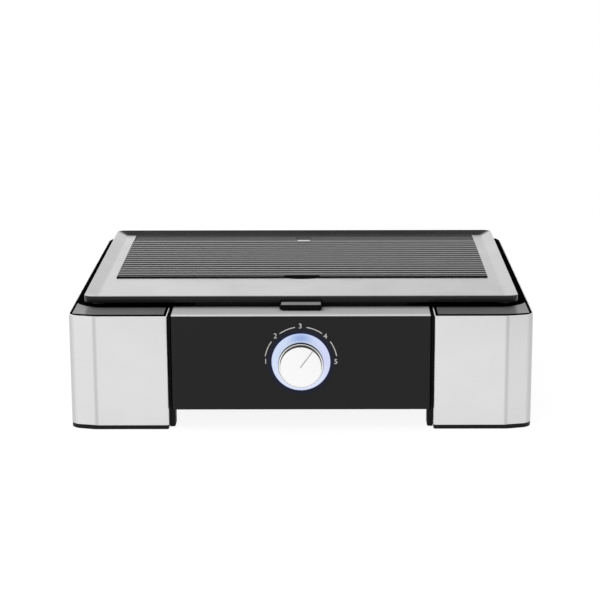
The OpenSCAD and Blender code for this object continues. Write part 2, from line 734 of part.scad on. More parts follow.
module grill_plate() {
    placed() color([0.33, 0.33, 0.34]) difference() {
        translate([0, plate_y0, deck_h + floor_rise]) rotate([plate_slope, 0, 0]) level_plate();
        for (s = [-1, 1], y = [rest_y_front, rest_y_rear])
            translate([s * (plate_x - rest_inset_x), y, under_z(y) - 3]) cylinder(r = rest_tip_r + 0.5, h = 4.4);
    }
}

// ---------------------------------------------------------------- drip tray

tray_z = deck_h + tray_clear;
grip_z = deck_h + 0.8;
grip_y1 = plate_y0 - 1.3;
neck_x = grip_w / 2 - grip_h / 2 - 0.4;

module drip_tray() {
    placed() color([0.55, 0.55, 0.56]) union() {
        difference() {
            round_slab(-tray_w / 2, tray_w / 2, tray_y0, tray_y1, tray_z, tray_z + tray_h, 8);
            round_slab(-tray_w / 2 + tray_t, tray_w / 2 - tray_t, tray_y0 + tray_t, tray_y1 - tray_t,
                tray_z + tray_t, tray_z + tray_h + cut, 8 - tray_t);
        }
        block([-neck_x, grip_y1 - grip_d + 2.2, tray_z], [neck_x, tray_y0 + tray_t, tray_z + 1.2]);
    }
}

module tray_grip() {
    r = grip_h / 2;
    placed() color([0.06, 0.06, 0.06]) difference() {
        union() {
            block([-grip_w / 2 + r, grip_y1 - grip_d, grip_z], [grip_w / 2 - r, grip_y1, grip_z + grip_h]);
            for (s = [-1, 1]) y_rod(r, grip_y1 - grip_d, grip_y1, s * (grip_w / 2 - r), grip_z + r);
        }
        block([-neck_x - 0.1, grip_y1 - grip_d + 2, deck_h], [neck_x + 0.1, grip_y1 + cut, tray_z + 1.3]);
    }
}

// ---------------------------------------------------------------- control

thermostat_screw_x = 14;
thermostat_y0 = -tub_y + tub_t;
thermostat_y1 = thermostat_y0 + 24;

module thermostat() {
    placed() color([0.75, 0.72, 0.65]) difference() {
        union() {
            block([-18, thermostat_y0, knob_z - 9], [18, thermostat_y0 + 2, knob_z + 9]);
            block([-15, thermostat_y0 + 2, knob_z - 20], [15, thermostat_y1, knob_z + 16]);
            y_rod(5, -tub_y - 1.4, thermostat_y0 + cut);
            for (x = [-10, 10]) block([x - 3, thermostat_y1 - cut, knob_z - 15], [x + 3, thermostat_y1 + 8, knob_z - 14.2]);
        }
        y_rod(shaft_dia / 2 + shaft_clear, -tub_y - 3, shaft_back_y + 0.5);
        for (s = [-1, 1]) y_rod(1.65, -tub_y, thermostat_y0 + 8, s * thermostat_screw_x);
    }
}

module thermostat_screws() {
    placed() color([0.7, 0.7, 0.6]) for (s = [-1, 1]) union() {
        y_rod(3.2, -tub_y - 1.6, -tub_y, s * thermostat_screw_x);
        y_rod(1.6, -tub_y - 1, thermostat_y0 + 7, s * thermostat_screw_x);
    }
}

// The sensor bulb lies across the pan just behind its front wall
sensor_x = -64;
sensor_z = deck_h - 5;
sensor_y = pan_y0 + 7;

module temperature_sensor() {
    placed() color([0.8, 0.55, 0.35]) union() {
        translate([sensor_x + 8, sensor_y, sensor_z]) rotate([0, 90, 0]) cylinder(r = 2.6, h = 78);
        bent_tube([[sensor_x + 10, sensor_y, sensor_z], [sensor_x, sensor_y, sensor_z],
            [sensor_x, pan_y0 - 30, sensor_z], [sensor_x, pan_y0 - 30, knob_z + 6],
            [0, pan_y0 - 30, knob_z + 6], [0, thermostat_y1, knob_z + 6]], 1, 4);
    }
}

module light_ring() {
    placed() color([0.75, 0.85, 1]) difference() {
        union() {
            y_rod(ring_dia / 2, -panel_y - ring_proud, -panel_y + panel_t + 0.5);
            y_rod(ring_dia / 2 + 3, -panel_y + panel_t, -panel_y + panel_t + ring_flange_t);
        }
        y_rod(ring_bore / 2, -panel_y - ring_proud - cut, -panel_y + panel_t + ring_flange_t + cut);
    }
}

module lamp_board() {
    placed() color([0.1, 0.35, 0.2]) difference() {
        y_rod(ring_dia / 2 + 1.5, board_y - board_t, board_y);
        y_rod(ring_bore / 2 - 1, board_y - board_t - cut, board_y + cut);
    }
}

module lamps() {
    size = 3;
    gap = (tub_setback - panel_setback - panel_t - ring_flange_t) - 1 - board_t;
    placed() color([0.95, 0.95, 0.85]) translate([0, board_y - board_t, knob_z]) for (i = [0:lamp_count - 1])
        rotate([0, i * 360 / lamp_count, 0]) translate([lamp_r - size / 2, -gap + fit, -size / 2])
            cube([size, gap - fit, size]);
}

module control_shaft() {
    front_y = -panel_y - skirt_p1 + 1;
    placed() color([0.7, 0.7, 0.7]) difference() {
        y_rod(shaft_dia / 2, front_y, shaft_back_y);
        // flat that turns the knob with the shaft
        block([shaft_dia / 2 - 1.5, front_y - cut, knob_z - 5], [shaft_dia, -panel_y - knob_back, knob_z + 5]);
    }
}

module control_knob() {
    hub_r = shaft_dia / 2 + 3.2;
    skirt_r = skirt_dia / 2;
    core_r = face_dia / 2;
    seat_r = skirt_r - 0.4;
    roof_p = knob_proud - face_t - 2;
    placed() color([0.07, 0.07, 0.07]) difference() {
        knob_turned() polygon([[0, knob_back], [hub_r, knob_back], [hub_r, roof_p], [stem_r - 2.2, roof_p],
            [stem_r - 2.2, knob_back], [stem_r, knob_back], [stem_r + 0.6, skirt_p0 - 0.6], [skirt_r - 0.5, skirt_p0],
            [skirt_r, skirt_p0 + 0.5], [skirt_r, skirt_p1 - 0.4], [seat_r, skirt_p1], [core_r, skirt_p1],
            [core_r, knob_proud - face_t], [0, knob_proud - face_t]]);
        difference() {
            y_rod(shaft_dia / 2 + 0.03, -panel_y - skirt_p1 + 0.7, -panel_y);
            block([shaft_dia / 2 - 1.45, -panel_y - skirt_p1, knob_z - 5], [shaft_dia, -panel_y - knob_back + cut, knob_z + 5]);
        }
    }
}

module knob_bezel() {
    r = skirt_dia / 2 - 0.4;
    placed() color([0.9, 0.9, 0.9]) knob_turned() polygon([[face_dia / 2 + 0.02, skirt_p1], [r, skirt_p1], [r, skirt_p1 + bezel_t - 0.2],
        [r - 0.2, skirt_p1 + bezel_t], [face_dia / 2 + 0.02, skirt_p1 + bezel_t]]);
}

module knob_face() {
    r = face_dia / 2 - 0.1;
    placed() color([0.93, 0.93, 0.94]) knob_turned() polygon([[0, knob_proud - face_t], [r, knob_proud - face_t],
        [r, knob_proud - 0.3], [r - 0.3, knob_proud], [0, knob_proud]]);
}

// ---------------------------------------------------------------- wiring and cord inlet

gland_r = 8;
wire_r = 1.2;
block_y = tub_y - 36; // front face of the terminal block
wire_z = cover_top + 10;

module terminal_block() {
    placed() color([0.9, 0.9, 0.88]) difference() {
        union() {
            block([-37, block_y, cover_top], [-3, block_y + 16, cover_top + 5]);
            for (x = [-30, -20, -10]) block([x - 4.4, block_y, cover_top], [x + 4.4, block_y + 16, cover_top + 17]);
        }
        for (x = [-30, -20, -10]) {
            y_rod(1.6, block_y - cut, block_y + 17, x, wire_z);
            translate([x, block_y + 8, cover_top + 13]) cylinder(r = 1.9, h = 5);
        }
    }
}

module internal_wiring() {
    neutral_y = terminal_pin_y + 1.6;
    placed() color([0.2, 0.3, 0.7]) {
        bent_tube([[-tube_end_x, block_y + 1, wire_z], [-tube_end_x, neutral_y, wire_z],
            [-tube_end_x, neutral_y, tube_z - 1.7]], wire_r, 6);
        bent_tube([[-10, block_y + 1, wire_z], [-10, thermostat_y1 + 20, wire_z],
            [-10, thermostat_y1 + 20, knob_z - 14.6], [-10, thermostat_y1 + 8.1, knob_z - 14.6]], wire_r, 4);
        bent_tube([[10, thermostat_y1 + 8.1, knob_z - 14.6], [10, neutral_y, knob_z - 14.6],
            [tube_end_x, neutral_y, knob_z - 14.6], [tube_end_x, neutral_y, tube_z - 1.7]], wire_r, 4);
    }
}

module thermal_fuse() {
    // in the live wire, hung from the tray shelf's rear
    placed() color([0.75, 0.75, 0.78]) union() {
        y_rod(2.4, -100, -88, 45, deck_under - 2.4);
    }
}

module earth_lug() {
    placed() color([0.8, 0.65, 0.3]) difference() {
        block([58, pan_y0 - 1 - tub_t - 1.2, 70], [68, pan_y0 - 1 - tub_t, 86]);
        y_rod(1.7, pan_y0 - 12, pan_y0, 63, 80);
    }
}

module cord_gland() {
    placed() color([0.08, 0.08, 0.08]) difference() {
        union() {
            y_rod(gland_r + 3, panel_y, panel_y + 1.8, -gland_x, gland_z);
            y_rod(gland_r, tub_y - tub_t - 8, panel_y + 1, -gland_x, gland_z);
        }
        y_rod(gland_bore / 2, tub_y - tub_t - 9, panel_y + 3, -gland_x, gland_z);
    }
}

module gland_nut() {
    placed() color([0.15, 0.15, 0.15]) translate([-gland_x, tub_y - tub_t, gland_z]) rotate([90, 0, 0]) difference() {
        cylinder(r = gland_r + 4, h = 5, $fn = 6);
        translate([0, 0, -cut]) cylinder(r = gland_r + 0.05, h = 5 + 2 * cut);
    }
}

module cover_screws() {
    placed() color([0.6, 0.6, 0.6]) for (p = cover_screw_pts) screw_up(p.x, p.y, arch_h - 1, 11);
}

module trim_screws() {
    placed() color([0.6, 0.6, 0.6]) for (s = [1, -1]) on_side(s)
        for (p = trim_screw_pts) screw_up(p.x, p.y, feet_proud, 16);
}

module pan_screws() {
    placed() color([0.7, 0.7, 0.7]) for (s = [-1, 1], y = [pan_y0 + 40, pan_y1 - 40])
        translate([s * (pan_x + pan_flange / 2 + 0.5), y, deck_h + pan_t + 1.6]) mirror([0, 0, 1]) {
            cylinder(r = 3, h = 1.6);
            cylinder(r = screw_dia / 2, h = 9);
        }
}

centre_tub();
bottom_cover();
end_frame(-1);  // end_frame_left
end_frame(1);  // end_frame_right
steel_shell(-1);  // steel_shell_left
steel_shell(1);  // steel_shell_right
end_cap(-1);  // end_cap_left
end_cap(1);  // end_cap_right
bottom_trim(-1);  // bottom_trim_left
bottom_trim(1);  // bottom_trim_right
rubber_feet();
front_panel();
rear_panel();
tray_shelf();
tray_guides();
reflector_pan();
heating_element();
element_brackets();
element_bushes();
element_terminals();
plate_rests();
thermostat();
thermostat_screws();
temperature_sensor();
thermal_fuse();
light_ring();
lamp_board();
lamps();
terminal_block();
internal_wiring();
cord_gland();
gland_nut();
earth_lug();
cover_screws();
trim_screws();
pan_screws();
control_shaft();
control_knob();
knob_bezel();
knob_face();
grill_plate();
drip_tray();
tray_grip();
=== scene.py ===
"""Electric table grill: surfaces, finishes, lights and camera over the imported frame.

Lengths inside the shape functions are millimetres in the frame's axes (X right, Y back, Z up);
put() scales them to metres when a mesh is made.
"""
import math

import bmesh
import bpy
import numpy as np
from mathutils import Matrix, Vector


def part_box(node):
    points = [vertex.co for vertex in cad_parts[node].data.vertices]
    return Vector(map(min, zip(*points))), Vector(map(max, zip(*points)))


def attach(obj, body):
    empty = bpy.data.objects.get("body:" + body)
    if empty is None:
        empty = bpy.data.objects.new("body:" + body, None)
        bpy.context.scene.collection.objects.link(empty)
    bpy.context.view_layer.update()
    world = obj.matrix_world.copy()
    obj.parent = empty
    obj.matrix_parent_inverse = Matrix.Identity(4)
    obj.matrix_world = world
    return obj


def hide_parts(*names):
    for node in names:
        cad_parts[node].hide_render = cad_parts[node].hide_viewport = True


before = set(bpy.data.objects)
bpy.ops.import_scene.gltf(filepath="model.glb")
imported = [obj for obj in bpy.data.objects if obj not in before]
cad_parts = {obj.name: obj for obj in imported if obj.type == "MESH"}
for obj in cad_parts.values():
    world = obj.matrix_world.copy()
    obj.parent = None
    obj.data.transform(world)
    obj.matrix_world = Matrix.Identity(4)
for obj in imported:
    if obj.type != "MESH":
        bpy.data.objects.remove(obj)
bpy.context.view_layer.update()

bl_info = {
    "name": "Table grill",
    "version": (1, 0, 0),
    "blender": (4, 5, 0),
    "location": "View3D > Sidebar > Grill",
    "description": "Steel shells, ribbed plate, lit knob, finishes and studio of a table grill",
    "category": "Add Mesh",
}

MM = 0.001
IMAGE_PX = 600


def node_box(node):
    """Lowest and highest corner of a frame node, in millimetres."""
    low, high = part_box(node)
    return np.round(np.array(low) / MM, 3), np.round(np.array(high) / MM, 3)


SHELL = node_box("steel_shell_right")
PANEL = node_box("front_panel")
PLATE = node_box("grill_plate")
RING = node_box("light_ring")
FACE = node_box("knob_face")
SIDE_X = float(SHELL[1][0])
INNER_X = float(SHELL[0][0])
FRONT_Y = float(SHELL[0][1])
MID_Y = float(SHELL[0][1] + SHELL[1][1]) / 2
HALF_Y = float(SHELL[1][1] - SHELL[0][1]) / 2
PANEL_Y = float(PANEL[0][1])
KNOB_Z = float(RING[0][2] + RING[1][2]) / 2
FACE_Y = float(FACE[0][1])
# width of the steel's facet here and in the solids
FACET_W = 28.2
SOLID_FACET_W = 25.5
# metres, as the finishes use them
LIT_R = 0.0305
PANEL_HALF_X = 0.1331


# ------------------------------------------------------------------ meshes


def show(name, data):
    """A new object that holds the data, linked to the scene."""
    item = bpy.data.objects.new(name, data)
    bpy.context.scene.collection.objects.link(item)
    return item


def put(name, points, faces, body, slot, replaces=(), sharp=32.0, merge=1e-6):
    """Makes a mesh piece from points in millimetres and faces, with its place in the mesh.

    Doubles are merged, the normals of the closed skin are turned outward, and edges whose
    faces meet at more than sharp degrees stay crisp."""
    mesh = bpy.data.meshes.new(name)
    mesh.from_pydata((np.asarray(points, float) * MM).tolist(), [], faces)
    skin = bmesh.new()
    skin.from_mesh(mesh)
    bmesh.ops.remove_doubles(skin, verts=skin.verts, dist=merge)
    bmesh.ops.recalc_face_normals(skin, faces=skin.faces)
    if skin.calc_volume(signed=True) < 0:
        bmesh.ops.reverse_faces(skin, faces=skin.faces)
    open_edges = sum(1 for edge in skin.edges if not edge.is_manifold)
    skin.to_mesh(mesh)
    skin.free()
    if open_edges:
        print(f"{name}: {open_edges} edges are not closed")
    mesh.shade_smooth()
    mesh.set_sharp_from_angle(angle=math.radians(sharp))
    piece = show(name, mesh)
    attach(piece, body)
    if replaces:
        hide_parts(*replaces)
    return piece


def grid_faces(rows, columns, wrap_rows=False, wrap_columns=False, start=0):
    """Quads of a grid of points numbered row by row: each joins a point to the next row and
    the next column, and wraps round where asked."""
    r = np.arange(rows if wrap_rows else rows - 1)
    c = np.arange(columns if wrap_columns else columns - 1)
    r0, c0 = np.meshgrid(r, c, indexing="ij")
    r1 = (r0 + 1) % rows
    c1 = (c0 + 1) % columns
    row0, row1 = r0 * columns, r1 * columns
    quads = np.stack([row0 + c0, row0 + c1, row1 + c1, row1 + c0], -1)
    return (quads.reshape(-1, 4) + start).tolist()


def tube_skin(rings, closed):
    """Points and faces of a skin through closed rings[k, i, xyz]; open ends get a flat cap."""
    count, size = rings.shape[:2]
    faces = grid_faces(count, size, wrap_rows=closed, wrap_columns=True)
    if not closed:
        faces.append(list(range(size))[::-1])
        faces.append([(count - 1) * size + i for i in range(size)])
    return rings.reshape(-1, 3), faces


def turned(profile, closed=True, segments=160):
    """Profile of (radius, distance in front of the panel) turned about the knob's axis:
    x = r cos a, z = KNOB_Z + r sin a, y = PANEL_Y - p. A closed profile makes a ring; an open
    one makes a drum with a flat face at both ends."""
    profile = np.asarray(profile, float)
    a = np.arange(segments) * 2 * np.pi / segments
    r, p = profile[:, 0], profile[:, 1]
    rings = np.empty((segments, len(profile), 3))
    rings[..., 0] = np.cos(a)[:, None] * r
    rings[..., 1] = PANEL_Y - p
    rings[..., 2] = KNOB_Z + np.sin(a)[:, None] * r
    return tube_skin(rings if closed else rings.transpose(1, 0, 2), closed=closed)


def rounded(points, radii, steps=5):
    """Polygon with its corners rounded: corner k becomes an arc of radii[k] that touches both
    of its sides, by turning from one side's direction to the next in equal steps."""
    points = np.asarray(points, float)
    before = np.roll(points, 1, axis=0) - points
    after = np.roll(points, -1, axis=0) - points
    before /= np.linalg.norm(before, axis=1)[:, None]
    after /= np.linalg.norm(after, axis=1)[:, None]
    half = np.arccos(np.clip((before * after).sum(1), -1, 1)) / 2
    radii = np.maximum(np.asarray(radii, float), 1e-4)
    reach = radii / np.tan(half)
    middle = before + after
    middle /= np.linalg.norm(middle, axis=1)[:, None]
    centre = points + middle * (radii / np.sin(half))[:, None]
    start = points + before * reach[:, None] - centre
    end = points + after * reach[:, None] - centre
    turn = np.pi - 2 * half
    t = np.linspace(0, 1, steps)[None, :, None]
    w = turn[:, None, None]
    arc = (np.sin((1 - t) * w) * start[:, None] + np.sin(t * w) * end[:, None]) / np.sin(w)
    return (centre[:, None] + arc).reshape(-1, 2)


# ------------------------------------------------------------------ end blocks


def shell_path(side_x, inner_x, half_y, corner_r, facet_w, facet_angle, fold_r, flange, crease_r):
    """Plan of a steel shell as points and outward normals, front half then rear half.

    The front half runs from the end of the folded flange round the fold (radius fold_r), along
    the front, round the soft crease (radius crease_r) into the facet, and round the outer corner
    (radius corner_r) to the side. Every arc is centre + r (sin a, -cos a) for its span of a."""
    a = math.radians(facet_angle)
    corner_y = (corner_r + (facet_w - corner_r) * math.sin(a)) / math.cos(a)
    crease_x = side_x - facet_w
    back = crease_r * math.tan(a / 2)

    def arc(cx, cy, r, a0, a1, n):
        t = np.radians(np.linspace(a0, a1, n))
        normal = np.stack([np.sin(t), -np.cos(t)], -1)
        return np.array([cx, cy]) + r * normal, normal

    flange_y = np.array([-half_y + flange, -half_y + flange - 0.4, -half_y + (flange + fold_r) / 2])
    pieces = [(np.stack([np.full(3, inner_x), flange_y], -1), np.tile([-1.0, 0.0], (3, 1))),
              arc(inner_x + fold_r, -half_y + fold_r, fold_r, -90, 0, 9),
              arc(crease_x - back, -half_y + crease_r, crease_r, 0, facet_angle, 9),
              arc(side_x - corner_r, -half_y + corner_y, corner_r, facet_angle, 90, 17)]
    front = np.concatenate([p for p, _ in pieces])
    normal = np.concatenate([n for _, n in pieces])
    flip = np.array([1.0, -1.0])
    return (np.concatenate([front, front[::-1] * flip]),
            np.concatenate([normal, normal[::-1] * flip]))


def shell_skin(side, sizes):
    """Steel shell of one end block: the sheet's section, a tall thin rectangle with rolled
    edges, carried along shell_path; depth d of the section lies inward along the normal."""
    path, normal = shell_path(SIDE_X, INNER_X, HALF_Y, sizes.corner_radius / MM,
                              sizes.facet_width / MM, math.degrees(sizes.facet_angle),
                              sizes.fold_radius / MM, sizes.flange_depth / MM,
                              sizes.crease_radius / MM)
    t = sizes.sheet / MM
    low, high = float(SHELL[0][2]), float(SHELL[1][2])
    section = rounded([(0, low), (0, high), (t, high), (t, low)], [0.45, 0.5, 0.35, 0.35], 5)
    rings = np.empty((len(path), len(section), 3))
    rings[..., 0] = side * (path[:, None, 0] - normal[:, None, 0] * section[None, :, 0])
    rings[..., 1] = MID_Y + path[:, None, 1] - normal[:, None, 1] * section[None, :, 0]
    rings[..., 2] = section[None, :, 1]
    return tube_skin(rings, closed=False)


# ------------------------------------------------------------------ grill plate

PLATE_X = float(PLATE[1][0])
PLATE_Y = float(PLATE[0][1])
SLOPE = math.radians(0.45)
PLATE_D = 333.0
TOP_Z = 131.0
FOOT = 13.9
FOOT_R = 6.0
FIELD_X = 203.0
FIELD_Y0 = 98.5
SINK = 1.2
RIB_PITCH = 10.6
RIBS = 18
RIB_H = 2.8
RIB_HALF = 2.5
LAST_RIB = FIELD_Y0 + RIB_HALF + RIB_PITCH * (RIBS - 1)
BULGE_Y = 84
DRAIN_X = 18.4
DRAIN_BULGE = 6.2
PAD_X = 9.5
PAD_SINK = 2.0
# painted shade levels of the flat tail and the drain, and how much darker the first rib is painted
TAIL_SHADE = 0.63
DRAIN_SHADE = 0.0
FIRST_RIB_SHADE = 0.3
REST_X = 213.4
REST_Y = (26.0, 313.0)
REST_R = 4.5
UNDER_Z = -3.7


def mirrored(half):
    """Lines of the right half with their mirror images and the middle line."""
    return np.concatenate([-np.array(half[::-1]), [0], np.array(half)])


def plate_lines():
    """Grid lines of the casting, level and from its front edge: x and y lines of the top with
    the rib height on each y line, and x and y lines of the underside in the same number."""
    top_x = [1.5, 3, 4.5, 5.8, 7, 8.2, 9.2, 9.5, 10.5, 12.2, 14.2, 16.4, 18.4, 20, 24, 32, 44, 60,
             80, 100, 120, 140, 160, 180, 192, 197, 200, 201.4, 202.3, 202.7, 203, 203.3, 204,
             205, 206.5, 207.7, 208.9, 210.1, 211.3, 212.5]
    under_x = top_x[:26] + [199.5, 201.5, 203.5, 206, 208, 208.9, 209.05, 211.2, 213.4, 215.6,
                            217.75, 217.9, 218.8, 219.0]
    front = [13.9, 15.1, 16.3, 17.5, 18.7, 19.9, 22, 26, 32, 40, 50, 60, 70, 78, 84, 88, 92,
             95, 97.2]
    under_front = [7.4, 8.5, 9.7, 11, 12, 13, 20.6, 21.5, 21.65, 23.8, 26, 28.2, 30.35, 30.5, 31.4,
                   45, 65, 84, 97.2]
    rib = np.array([(-2.5, 0), (-2.3, 0.18), (-1.2, 2.15), (-0.95, 2.57), (-0.6, 2.77), (0, 2.8),
                    (0.6, 2.77), (0.95, 2.57), (1.2, 2.15), (2.3, 0.18), (2.5, 0), (5.3, 0)])
    centres = FIELD_Y0 + RIB_HALF + RIB_PITCH * np.arange(RIBS)
    ribs_y = (centres[:, None] + rib[None, :, 0]).ravel()
    ribs_h = np.tile(rib[:, 1], RIBS)
    ribs_y[:2] = [98.62, 98.85]
    ribs_h[:2] = [0, 0.55]
    extra = len(ribs_y) - 12 + 5
    ribs_y = np.insert(ribs_y, extra, centres[-1] - 0.35)[:-1]
    ribs_h = np.insert(ribs_h, extra, 2.79)[:-1]
    lip = [98.0, 98.38, 98.5]
    tail = [285.6, 289, 293, 298, 303, 308, 310.1, 311.5, 313.1, 314.3, 314.8, 315.1, 315.9, 316.7,
            317.9, 318.8, 319.1]
    under_tail = [285.6, 292, 300, 307.6, 308.5, 308.65, 310.8, 313, 315.2, 317.35, 317.5, 318.4,
                  320, 321.4, 322.8, 324.2, 325.6]
    y = np.concatenate([front, lip, ribs_y, tail])
    under_y = np.concatenate([under_front, lip, ribs_y, under_tail])
    height = np.concatenate([np.zeros(len(front) + len(lip)), ribs_h, np.zeros(len(tail))])
    return mirrored(top_x), y, height, mirrored(under_x), under_y


def round_block(x, y, x0, y0, x1, y1):
    """Bends the square block between its inner corner (x0, y0) and its outer corner (x1, y1)
    into a quarter disc: with s and t from 0 to 1 across it, s goes to s sqrt(1 - t t / 2) and t
    to t sqrt(1 - s s / 2)."""
    s = (x - x0) / (x1 - x0)
    t = (y - y0) / (y1 - y0)
    inside = (s > 0) & (t > 0) & (s < 1 + 1e-6) & (t < 1 + 1e-6)
    new_x = x0 + (x1 - x0) * s * np.sqrt(np.maximum(1 - t * t / 2, 0))
    new_y = y0 + (y1 - y0) * t * np.sqrt(np.maximum(1 - s * s / 2, 0))
    return np.where(inside, new_x, x), np.where(inside, new_y, y)


def drain_arc(x):
    """How far the drain opening bulges forward at x: an arc of the chord 2 DRAIN_X."""
    r = (DRAIN_X ** 2 + DRAIN_BULGE ** 2) / (2 * DRAIN_BULGE)
    bulge = np.sqrt(np.maximum(r * r - x * x, 0)) - (r - DRAIN_BULGE)
    return np.where(np.abs(x) < DRAIN_X, bulge, 0.0)


def bulged(x, y):
    """Moves y forward by the drain's bulge at the field's front edge, and by less from there to
    BULGE_Y, where it ends."""
    fade = np.clip((y - BULGE_Y) / (FIELD_Y0 - BULGE_Y), 0, 1)
    return y - drain_arc(x) * fade * (y < FIELD_Y0 + 0.01)


def plate_top(lines_x, lines_y, ribs):
    """Upper surface on its grid: 0 on the smooth zone, -SINK in the field, plus the ribs, and
    -PAD_SINK in the recess behind the last rib; also the zone of each point, 1 for the smooth
    surface and 0 for the ribbed field, and its tone for painted shade: the height over the foot of
    the rib as a part of the full height, lower on the first rib, with set levels on the flat tail
    and round the drain."""
    x, y = np.meshgrid(lines_x, lines_y)
    rib = np.meshgrid(lines_x, ribs)[1]
    ax = np.abs(x)
    in_field = (ax < 202.8) & (y > 98.6) & (y < 318.9)
    z = np.where(in_field, -SINK, 0.0)
    z = np.where((ax < 202.8) & (np.abs(y - 98.38) < 1e-6), -0.12, z)
    z = np.where((ax < 202.8) & (np.abs(y - 98.5) < 1e-6), -0.5, z)
    z = z + np.where(in_field, rib, 0)
    z = np.where(np.abs(ax - FIELD_X) < 0.01, np.maximum(0.8 * (rib - SINK), z), z)
    z = np.where((ax < 9.3) & (y > LAST_RIB - 0.5) & (y < 314.9), -PAD_SINK, z)
    zone = np.where((ax < 202.9) & (y > 98.45), 0.0, 1.0)
    # painted shade levels: darker towards the foot of each rib and more so on the first, set levels
    # on the tail and round the drain
    tone = rib / RIB_H - np.where(y < FIELD_Y0 + 2.4, FIRST_RIB_SHADE, 0)
    tone = np.where(y < LAST_RIB + 3, tone, TAIL_SHADE)
    tone = np.where((ax < DRAIN_X + 0.1) & (y < FIELD_Y0 + 2.6), DRAIN_SHADE, tone)
    b = PLATE_D / 2 - FOOT
    mid = PLATE_D / 2
    y = bulged(x, y)
    for sx in (-1, 1):
        for sy in (-1, 1):
            x, y = round_block(x, y, sx * (PLATE_X - FOOT - FOOT_R), mid + sy * (b - FOOT_R),
                               sx * (PLATE_X - FOOT), mid + sy * b)
        x, y = round_block(x, y, sx * 200.0, FIELD_Y0 + 3, sx * 203.0, FIELD_Y0)
        x, y = round_block(x, y, sx * 4.5, LAST_RIB + 4.4, sx * PAD_X, LAST_RIB - 0.6)
        x, y = round_block(x, y, sx * 4.5, 310.1, sx * PAD_X, 315.1)
    return np.stack([x, y, z], -1), zone, tone


def plate_under(lines_x, lines_y):
    """Underside on its grid: flat at UNDER_Z, with four round recesses for the rests. Round each
    centre the square rings up to REST_R become circles, and the next ring stays square."""
    x, y = np.meshgrid(lines_x, lines_y)
    z = np.full_like(x, UNDER_Z)
    y = bulged(x, y)
    for cx in (-REST_X, REST_X):
        for cy in REST_Y:
            dx, dy = x - cx, y - cy
            ring = np.maximum(np.abs(dx), np.abs(dy))
            far = np.hypot(dx, dy)
            circle = ring / np.maximum(far, 1e-9)
            mix = np.clip((ring - REST_R) / 0.9, 0, 1)
            k = np.where(ring < 5.35, circle * (1 - mix) + mix, 1)
            z = np.where(ring < REST_R - 0.1, UNDER_Z + 1.4, z)
            x, y = cx + dx * k, cy + dy * k
    half = PLATE_X - 7.4
    b = PLATE_D / 2 - 7.4
    mid = PLATE_D / 2
    for sx in (-1, 1):
        for sy in (-1, 1):
            x, y = round_block(x, y, sx * (half - 5.6), mid + sy * (b - 5.6),
                               sx * half, mid + sy * b)
    return np.stack([x, y, z], -1)


def rim_rings(edge):
    """Closed rings of the rim, outward from the foot of its slope, over the crest and down the
    outer wall to the underside. Each ring is the foot's outline scaled to its own straight
    sides and corner radius: core * (half - r) / (half0 - r0) + r * normal."""
    rows = np.array([(0.7, 0.06), (1.5, 0.22), (2.5, 0.53), (7.0, 1.98), (11.6, 3.46), (12.3, 3.68),
                     (12.8, 3.86), (13.2, 3.96), (13.5, 3.97), (13.72, 3.85), (13.86, 3.6),
                     (13.9, 3.2), (13.9, 0.8), (13.9, -2.7), (13.8, -3.05), (13.5, -3.2),
                     (10.0, -3.2), (7.3, -3.2), (6.98, -3.25), (6.9, -3.35), (6.85, -3.5),
                     (6.78, -3.6)])
    mid = PLATE_D / 2
    half0 = np.array([PLATE_X - FOOT, mid - FOOT])
    flat = edge[:, :2] - [0, mid]
    core = np.clip(flat, -(half0 - FOOT_R), half0 - FOOT_R)
    normal = (flat - core) / FOOT_R
    out, z = rows[:, 0], rows[:, 1]
    outer = np.arange(len(rows)) < 16
    r = np.where(outer, FOOT_R + 2 * np.clip(out / 12.5, 0, 1), 6.0)
    half = half0[None, :] + out[:, None]
    scale = (half - r[:, None]) / (half0 - FOOT_R)
    rings = np.empty((len(rows), len(edge), 3))
    rings[..., :2] = core[None] * scale[:, None] + normal[None] * r[:, None, None] + [0, mid]
    rings[..., 2] = z[:, None]
    zone = np.repeat(np.where(np.arange(len(rows)) < 11, 1.0, -1.0)[:, None], len(edge), axis=1)
    zone[:2, (flat[:, 1] > half0[1] - 0.1) & (np.abs(flat[:, 0]) < FIELD_X)] = 0.0
    return rings, zone


def border(rows, columns):
    """Numbers of the border points of a grid, once round."""
    i = np.arange(rows * columns).reshape(rows, columns)
    return np.concatenate([i[0, :-1], i[:-1, -1], i[-1, :0:-1], i[:0:-1, 0]])


def pad_skin():
    """Bare pad in the recess: a rounded slab, its outline a rounded rectangle that shrinks
    towards the top edge."""
    y0, y1 = LAST_RIB + 1.8, LAST_RIB + 10.3
    rows = [(0.0, -PAD_SINK - 0.3), (0.0, -0.1), (0.12, 0.2), (0.45, 0.4)]
    rings = []
    for inset, z in rows:
        x = 7.6 - inset
        outline = rounded([(-x, y0 + inset), (x, y0 + inset), (x, y1 - inset), (-x, y1 - inset)],
                          [1.5 - inset] * 4, 6)
        rings.append(np.column_stack([outline, np.full(len(outline), z)]))
    return tube_skin(np.array(rings), closed=False)


def tilted(points):
    """Tips the level casting by the plate's slope about its front edge and sets it in place."""
    c, s = math.cos(SLOPE), math.sin(SLOPE)
    points = np.asarray(points, float)
    return np.stack([points[:, 0], PLATE_Y + 0.03 + points[:, 1] * c - points[:, 2] * s,
                     TOP_Z + points[:, 1] * s + points[:, 2] * c], -1)


